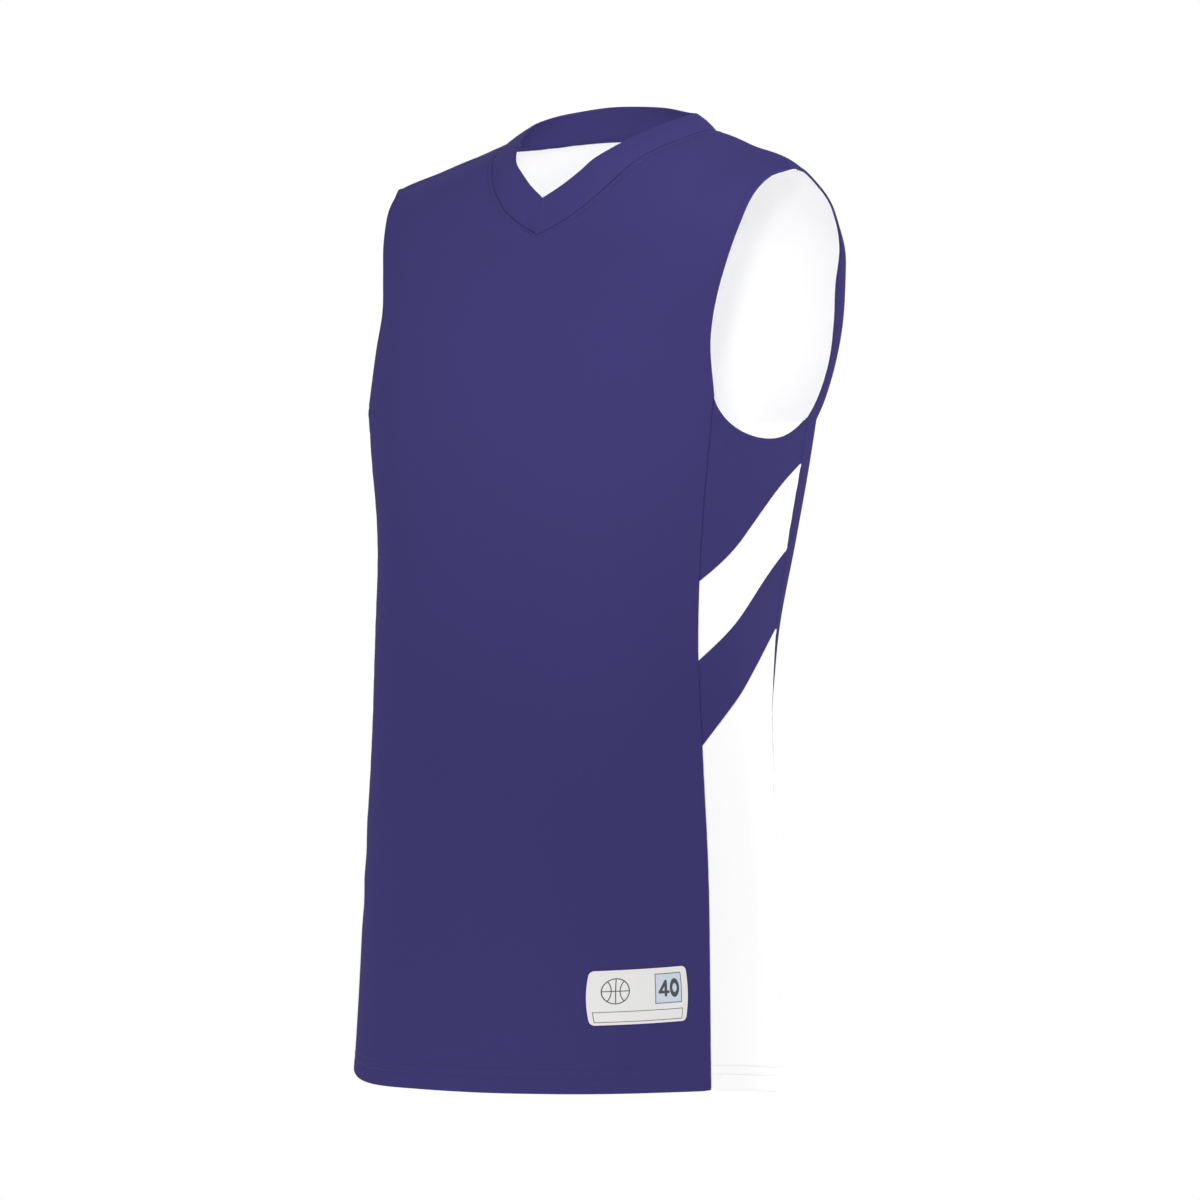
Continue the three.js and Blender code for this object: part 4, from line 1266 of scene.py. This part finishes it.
@dataclass(frozen=True)
class WovenFinish:
    """The label's satin weave, with a bordered size square, a ball and an empty name box."""

    name: str
    ground: tuple[float, float, float] = (0.76, 0.755, 0.745)
    edge: tuple[float, float, float] = (0.84, 0.73, 0.75)
    panel: tuple[float, float, float] = (0.56, 0.62, 0.71)
    ink: tuple[float, float, float] = (0.028, 0.028, 0.034)

    def box(self, g: Graph, x: Wire, y: Wire, centre: tuple[float, float], size: tuple[float, float]) -> Wire:
        """How far outside a box, in millimetres, a point lies."""
        return g.maths("MAXIMUM", abs(x - centre[0]) - size[0] / 2, abs(y - centre[1]) - size[1] / 2)

    def line(self, g: Graph, distance: Wire, width: float) -> Wire:
        """1 on a line of a width where the distance is 0, and 0 beside it."""
        return 1 - g.step(abs(distance), width / 2 - 0.06, width / 2 + 0.06)

    def ring(self, g: Graph, x: Wire, y: Wire, centre: tuple[float, float], radius: tuple[float, float]) -> Wire:
        """How far, in millimetres, a point lies outside an oval."""
        over, above = (x - centre[0]) / radius[0], (y - centre[1]) / radius[1]
        return (g.maths("SQRT", over * over + above * above) - 1) * min(radius)

    def stroke(self, g: Graph, x: Wire, y: Wire, start: tuple[float, float], end: tuple[float, float]) -> Wire:
        """How far, in millimetres, a point lies from a straight stroke."""
        dx, dy = end[0] - start[0], end[1] - start[1]
        px, py = x - start[0], y - start[1]
        t = g.maths("MINIMUM", g.maths("MAXIMUM", (px * dx + py * dy) / (dx * dx + dy * dy), 0), 1)
        ex, ey = px - t * dx, py - t * dy
        return g.maths("SQRT", ex * ex + ey * ey)

    def material(self) -> bpy.types.Material:
        """Makes the material."""
        made = bpy.data.materials.new(self.name)
        made.use_nodes = True
        g = Graph(made.node_tree)
        knit = g.wire("ShaderNodeUVMap", 0, uv_map="knit")
        axes = g.node("ShaderNodeSeparateXYZ", {0: knit})
        x, y = (Wire(g, axes.outputs[i]) for i in (0, 1))
        square = self.box(g, x, y, (20.6, 4.9), (20.8, 21.4))
        inside = 1 - g.step(square, -0.06, 0.06)
        name = self.box(g, x, y, (-0.4, -14.2), (65.5, 7.4))
        ball = self.ring(g, x, y, (-18.0, 4.6), (9.2, 9.2))
        within = 1 - g.step(ball, -0.06, 0.06)
        left, right = (self.ring(g, x, y, (-18.0 + s, 4.6), (8.6, 10.0)) for s in (-11.5, 11.5))
        seams = g.largest(
            self.line(g, x + 18.0, 0.7), self.line(g, y - 4.6, 0.7), self.line(g, left, 0.7), self.line(g, right, 0.7)
        )
        nought = self.line(g, self.ring(g, x, y, (25.3, 4.9), (2.8, 5.0)), 2.1)
        four = g.largest(*(
            self.line(g, self.stroke(g, x, y, start, end), 2.1)
            for start, end in (((18.2, -0.2), (18.2, 10.0)), ((18.2, 10.0), (13.4, 2.2)), ((13.4, 2.2), (20.2, 2.2)))
        ))
        marks = g.largest(
            self.line(g, square, 0.6), self.line(g, name, 0.5), self.line(g, ball, 0.8), seams * within, nought, four
        )
        weave = g.maths("SINE", x * 19.0) * 0.5 + g.maths("SINE", y * 23.0) * 0.5
        grain = g.noise(knit, 3.0, 2.0)
        border = g.step(self.box(g, x, y, (0, 0), (70.4, 37.4)), 0.0, 0.9)
        tint = g.mix(grain * 0.35, (*self.ground, 1), tuple(c * 0.9 for c in self.ground) + (1,))
        tint = g.mix(inside, tint, (*self.panel, 1))
        tint = g.mix(border, tint, (*self.edge, 1))
        tint = g.mix(marks * 0.93, tint, (*self.ink, 1))
        bump = g.wire("ShaderNodeBump", 0, {"Strength": 0.5, "Distance": 0.00005, "Height": weave + marks * 0.8})
        shader = g.wire("ShaderNodeBsdfPrincipled", 0, {
            "Base Color": tint, "Roughness": 0.55, "Specular IOR Level": 0.25, "Normal": bump,
        })
        g.node("ShaderNodeOutputMaterial", {0: shader})
        return made


@dataclass(frozen=True)
class Sewing:
    """A row of machine stitches: its sizes in millimetres and its thread."""

    pitch: float
    stitch: float
    radius: float

    def tree(self) -> bpy.types.NodeTree:
        """The node tree that lays stitches along a path."""
        tree = bpy.data.node_groups.new("stitches along a path", "GeometryNodeTree")
        g = Graph(tree)
        tree.interface.new_socket("Geometry", in_out="INPUT", socket_type="NodeSocketGeometry")
        for name in ("Pitch", "Stitch Length", "Thread Radius"):
            tree.interface.new_socket(name, in_out="INPUT", socket_type="NodeSocketFloat")
        tree.interface.new_socket("Material", in_out="INPUT", socket_type="NodeSocketMaterial")
        tree.interface.new_socket("Geometry", in_out="OUTPUT", socket_type="NodeSocketGeometry")
        given = g.node("NodeGroupInput")
        path, pitch, length, radius, material = (Wire(g, given.outputs[i]) for i in range(5))
        curve = g.wire("GeometryNodeMeshToCurve", 0, {0: path})
        points = g.wire("GeometryNodeResampleCurve", 0, {"Curve": curve, "Length": pitch}, mode="LENGTH")
        half = length * 0.5
        start, middle, end = (
            g.wire("ShaderNodeCombineXYZ", 0, {0: x, 2: z})
            for x, z in ((half * -1, radius * -1.4), (0.0, radius * 1.6), (half, radius * -1.4))
        )
        bow = g.wire("GeometryNodeCurveQuadraticBezier", 0, {"Resolution": 5, "Start": start, "Middle": middle,
                                                            "End": end})
        ring = g.wire("GeometryNodeCurvePrimitiveCircle", 0, {"Resolution": 5, "Radius": radius})
        thread = g.wire("GeometryNodeCurveToMesh", 0, {"Curve": bow, "Profile Curve": ring, "Fill Caps": True})
        tangent = g.wire("GeometryNodeInputTangent", 0)
        out = g.wire("GeometryNodeInputNamedAttribute", 0, {"Name": "out"}, data_type="FLOAT_VECTOR")
        along = g.wire("FunctionNodeAlignRotationToVector", 0, {"Vector": tangent}, axis="X")
        upright = g.wire("FunctionNodeAlignRotationToVector", 0, {"Rotation": along, "Vector": out}, axis="Z",
                         pivot_axis="X")
        laid = g.wire("GeometryNodeInstanceOnPoints", 0, {"Points": points, "Instance": thread,
                                                        "Rotation": upright})
        real = g.wire("GeometryNodeRealizeInstances", 0, {0: laid})
        shown = g.wire("GeometryNodeSetMaterial", 0, {"Geometry": real, "Material": material})
        g.node("NodeGroupOutput", {0: shown})
        return tree

    def lay(self, name: str, rows: Sequence[tuple[Array, Array]], thread: bpy.types.Material) -> bpy.types.Object:
        """Sews rows of stitches.

        Args:
            name: the name of the piece that the stitches make.
            rows: for each row its path and the way out of the cloth along it, in millimetres.
            thread: the material of the thread.

        Returns:
            A plain mesh of the stitches, linked to the scene.
        """
        points, edges, out = [], [], []
        for path, away in rows:
            first = len(points)
            points += (path * MM).tolist()
            out += unit(away).tolist()
            edges += [(first + i, first + i + 1) for i in range(len(path) - 1)]
        mesh = bpy.data.meshes.new(name)
        mesh.from_pydata(points, edges, [])
        mesh.attributes.new("out", "FLOAT_VECTOR", "POINT").data.foreach_set("vector", np.array(out).ravel())
        obj = bpy.data.objects.new(name, mesh)
        bpy.context.scene.collection.objects.link(obj)
        modifier = obj.modifiers.new("stitches", "NODES")
        modifier.node_group = self.tree()
        values = (self.pitch * MM, self.stitch * MM, self.radius * MM, thread)
        sockets = [s for s in modifier.node_group.interface.items_tree if s.in_out == "INPUT"][1:]
        for socket, value in zip(sockets, values):
            modifier[socket.identifier] = value
        seen = obj.evaluated_get(bpy.context.evaluated_depsgraph_get())
        sewn = bpy.data.meshes.new_from_object(seen)
        obj.modifiers.remove(modifier)
        obj.data = sewn
        obj.data.name = name
        sewn.polygons.foreach_set("use_smooth", np.ones(len(sewn.polygons), bool))
        return obj


@dataclass(frozen=True)
class Lamp:
    """A soft square lamp: where it stands and looks, its width in metres and its power."""

    name: str
    place: tuple[float, float, float]
    target: tuple[float, float, float]
    width: float
    power: float
    spread: float = 180.0

    def build(self) -> bpy.types.Object:
        """Makes the lamp."""
        light = bpy.data.lights.new(self.name, "AREA")
        light.size, light.energy, light.spread = self.width, self.power, math.radians(self.spread)
        obj = bpy.data.objects.new(self.name, light)
        obj.location = self.place
        way = Vector(self.target) - Vector(self.place)
        obj.rotation_euler = way.to_track_quat("-Z", "Y").to_euler()
        obj.visible_camera = False
        bpy.context.scene.collection.objects.link(obj)
        return obj


@dataclass(frozen=True)
class Studio:
    """The white surroundings, the lamps and the camera."""

    azimuth: float = 32.0
    distance: float = 3.792
    eye_height: float = -0.357
    lens: float = 147.0
    floor_height: float = -1.4
    white: float = 1.0

    def world(self) -> None:
        """Makes the white world."""
        world = bpy.data.worlds.new("white studio")
        bpy.context.scene.world = world
        world.use_nodes = True
        g = Graph(world.node_tree)
        sky = g.wire("ShaderNodeBackground", 0, {"Color": (1, 1, 1, 1), "Strength": self.white})
        g.node("ShaderNodeOutputWorld", {0: sky})
        bpy.context.scene.view_settings.view_transform = "Standard"

    def floor(self) -> None:
        """Makes the pale floor under the jersey."""
        mesh = bpy.data.meshes.new("floor")
        angles = np.linspace(0, 2 * math.pi, 65)[:-1]
        rim = [(3 * math.cos(a), 3 * math.sin(a), self.floor_height) for a in angles]
        mesh.from_pydata(rim, [], [list(range(64))])
        made = bpy.data.materials.new("pale floor")
        made.use_nodes = True
        g = Graph(made.node_tree)
        grain = g.noise(g.wire("ShaderNodeTexCoord", "Object"), 2.0)
        colour = g.mix(grain, (0.86, 0.86, 0.86, 1), (0.9, 0.9, 0.9, 1))
        shader = g.wire("ShaderNodeBsdfPrincipled", 0, {"Base Color": colour, "Roughness": 0.9})
        g.node("ShaderNodeOutputMaterial", {0: shader})
        mesh.materials.append(made)
        obj = bpy.data.objects.new("floor", mesh)
        bpy.context.scene.collection.objects.link(obj)

    def camera(self) -> None:
        """Sets up the camera."""
        data = bpy.data.cameras.new("camera")
        data.lens, data.sensor_width = self.lens, 36
        data.clip_start, data.clip_end = 0.05, 50
        obj = bpy.data.objects.new("camera", data)
        turn = math.radians(self.azimuth)
        obj.location = (math.sin(turn) * self.distance, -math.cos(turn) * self.distance, self.eye_height)
        obj.rotation_euler = (math.pi / 2, 0, turn)
        bpy.context.scene.collection.objects.link(obj)
        bpy.context.scene.camera = obj

    def lamps(self) -> None:
        """Sets up the lamps: on the chest, the neck, the hem and the back, and two inside the hollow."""
        for lamp in (
            Lamp("key", (1.256, -2.267, 0.04), (0.04, -0.1, -0.14), 0.26, 0.15, 14.0),
            Lamp("neck lamp", (0.95, -0.55, 0.12), (0.0, 0.03, -0.02), 0.1, 0.03, 14.0),
            Lamp("inside lamp", (0, -0.03, -0.3), (0, -0.03, -1), 0.15, 0.76),
            Lamp("arm lamp", (0.05, -0.04, -0.2), (0.16, 0.08, -0.13), 0.08, 0.014, 120.0),
            Lamp("hem lamp", (-0.1, -1.2, -1.25), (0.02, -0.15, -0.70), 0.3, 0.26, 60.0),
            Lamp("back lamp", (1.6, 1.7, 0.3), (0.1, 0.05, -0.3), 0.8, 12.0),
        ):
            lamp.build()

    def build(self) -> None:
        """Makes the whole studio."""
        self.world()
        self.floor()
        self.camera()
        self.lamps()


@dataclass(frozen=True)
class Finishes:
    """The jersey's materials."""

    purple: bpy.types.Material
    white: bpy.types.Material
    label: bpy.types.Material
    purple_thread: bpy.types.Material
    white_thread: bpy.types.Material


def finishes() -> Finishes:
    """Makes the materials."""
    return Finishes(
        purple=KnitFinish("purple knit", (0.0427, 0.0361, 0.1405), 0.03, 0.85).material(),
        white=KnitFinish("white knit", (0.93, 0.93, 0.932), 0.01, 0.85).material(),
        label=WovenFinish("woven label").material(),
        purple_thread=ThreadFinish("purple thread", (0.045, 0.038, 0.155)).material(),
        white_thread=ThreadFinish("white thread", (0.8, 0.8, 0.81)).material(),
    )


def declare(
    piece: BodyPanel | SideBlock | CollarBand | HipLabel,
    obj: bpy.types.Object,
    node: str,
    sewing: Sequence[bpy.types.Object],
) -> None:
    """Attaches a piece of cloth and its stitches to the root, hides the part that it replaces and logs its size.

    Args:
        piece: the piece with the size that it was cut to.
        obj: its object.
        node: the node that it replaces.
        sewing: the rows of stitches that go with it.
    """
    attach(obj, "root")
    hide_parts(node)
    for row in sewing:
        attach(row, "root")
    surface = sum(polygon.area for polygon in obj.data.polygons) / 2
    LOG.info("%s: %d faces, %.4f m2 of cloth, cut %.4f m2", obj.name, len(obj.data.polygons), surface, piece.area)


def main() -> None:
    """Builds the jersey piece by piece, then the studio."""
    logging.basicConfig(level=logging.INFO, format="%(name)s: %(message)s")
    figure = Figure()
    cloth = finishes()
    hem = Sewing(pitch=3.0, stitch=2.5, radius=0.2)
    fine = Sewing(pitch=2.8, stitch=2.3, radius=0.19)
    small = Sewing(pitch=2.2, stitch=1.7, radius=0.16)

    for name, is_back, flat, area in (
        ("front_panel", False, (0.39, 0.715), 0.245),
        ("back_panel", True, (0.40, 0.79), 0.285),
    ):
        panel = BodyPanel(figure, f"{name}_cloth", is_back, flat, area)
        obj = panel.build([cloth.purple, cloth.white])
        rows = [panel.hem_seam(side, d, HEM_THREAD) for side in (1, -1) for d in HEM_ROWS]
        seams = hem.lay(f"{name}_hem_stitches", rows, cloth.purple_thread)
        declare(panel, obj, name, [seams])

    for side, wearer_side in (("left", 1), ("right", -1)):
        for block, bottom, top, white, flat, area in (
            ("underarm", "upper_top", "armhole", False, (0.12, 0.125), 0.0073),
            ("upper_stripe", "upper_bottom", "upper_top", True, (0.12, 0.13), 0.0068),
            ("lower_stripe", "lower_bottom", "upper_bottom", False, (0.12, 0.13), 0.0062),
            ("lower", "hem", "lower_bottom", True, (0.13, 0.345), 0.0314),
        ):
            name = f"side_{side}_{block}"
            piece = SideBlock(figure, f"{name}_cloth", wearer_side, bottom, top, flat, area)
            faces = [cloth.white, cloth.purple] if white else [cloth.purple, cloth.white]
            obj = piece.build(faces)
            sewing = []
            if bottom == "hem":
                rows = [piece.hem_seam(d, HEM_THREAD) for d in HEM_ROWS]
                sewing = [hem.lay(f"{name}_hem_stitches", rows, cloth.white_thread)]
            declare(piece, obj, name, sewing)

    band = CollarBand(figure, "collar_cloth", (0.034, 0.56), 0.0165)
    obj = band.build([cloth.purple])
    row = fine.lay("neck_topstitch", [band.topstitch(NECK_ROW, NECK_THREAD)], cloth.purple_thread)
    declare(band, obj, "collar", [row])

    label = HipLabel(figure, "hip_label_cloth", (0.073, 0.040), 0.0029)
    obj = label.build([cloth.label])
    row = small.lay("label_stitches", [label.stitches(LABEL_THREAD)], cloth.white_thread)
    declare(label, obj, "hip_label", [row])

    Studio().build()


if __name__ == "__main__":
    main()
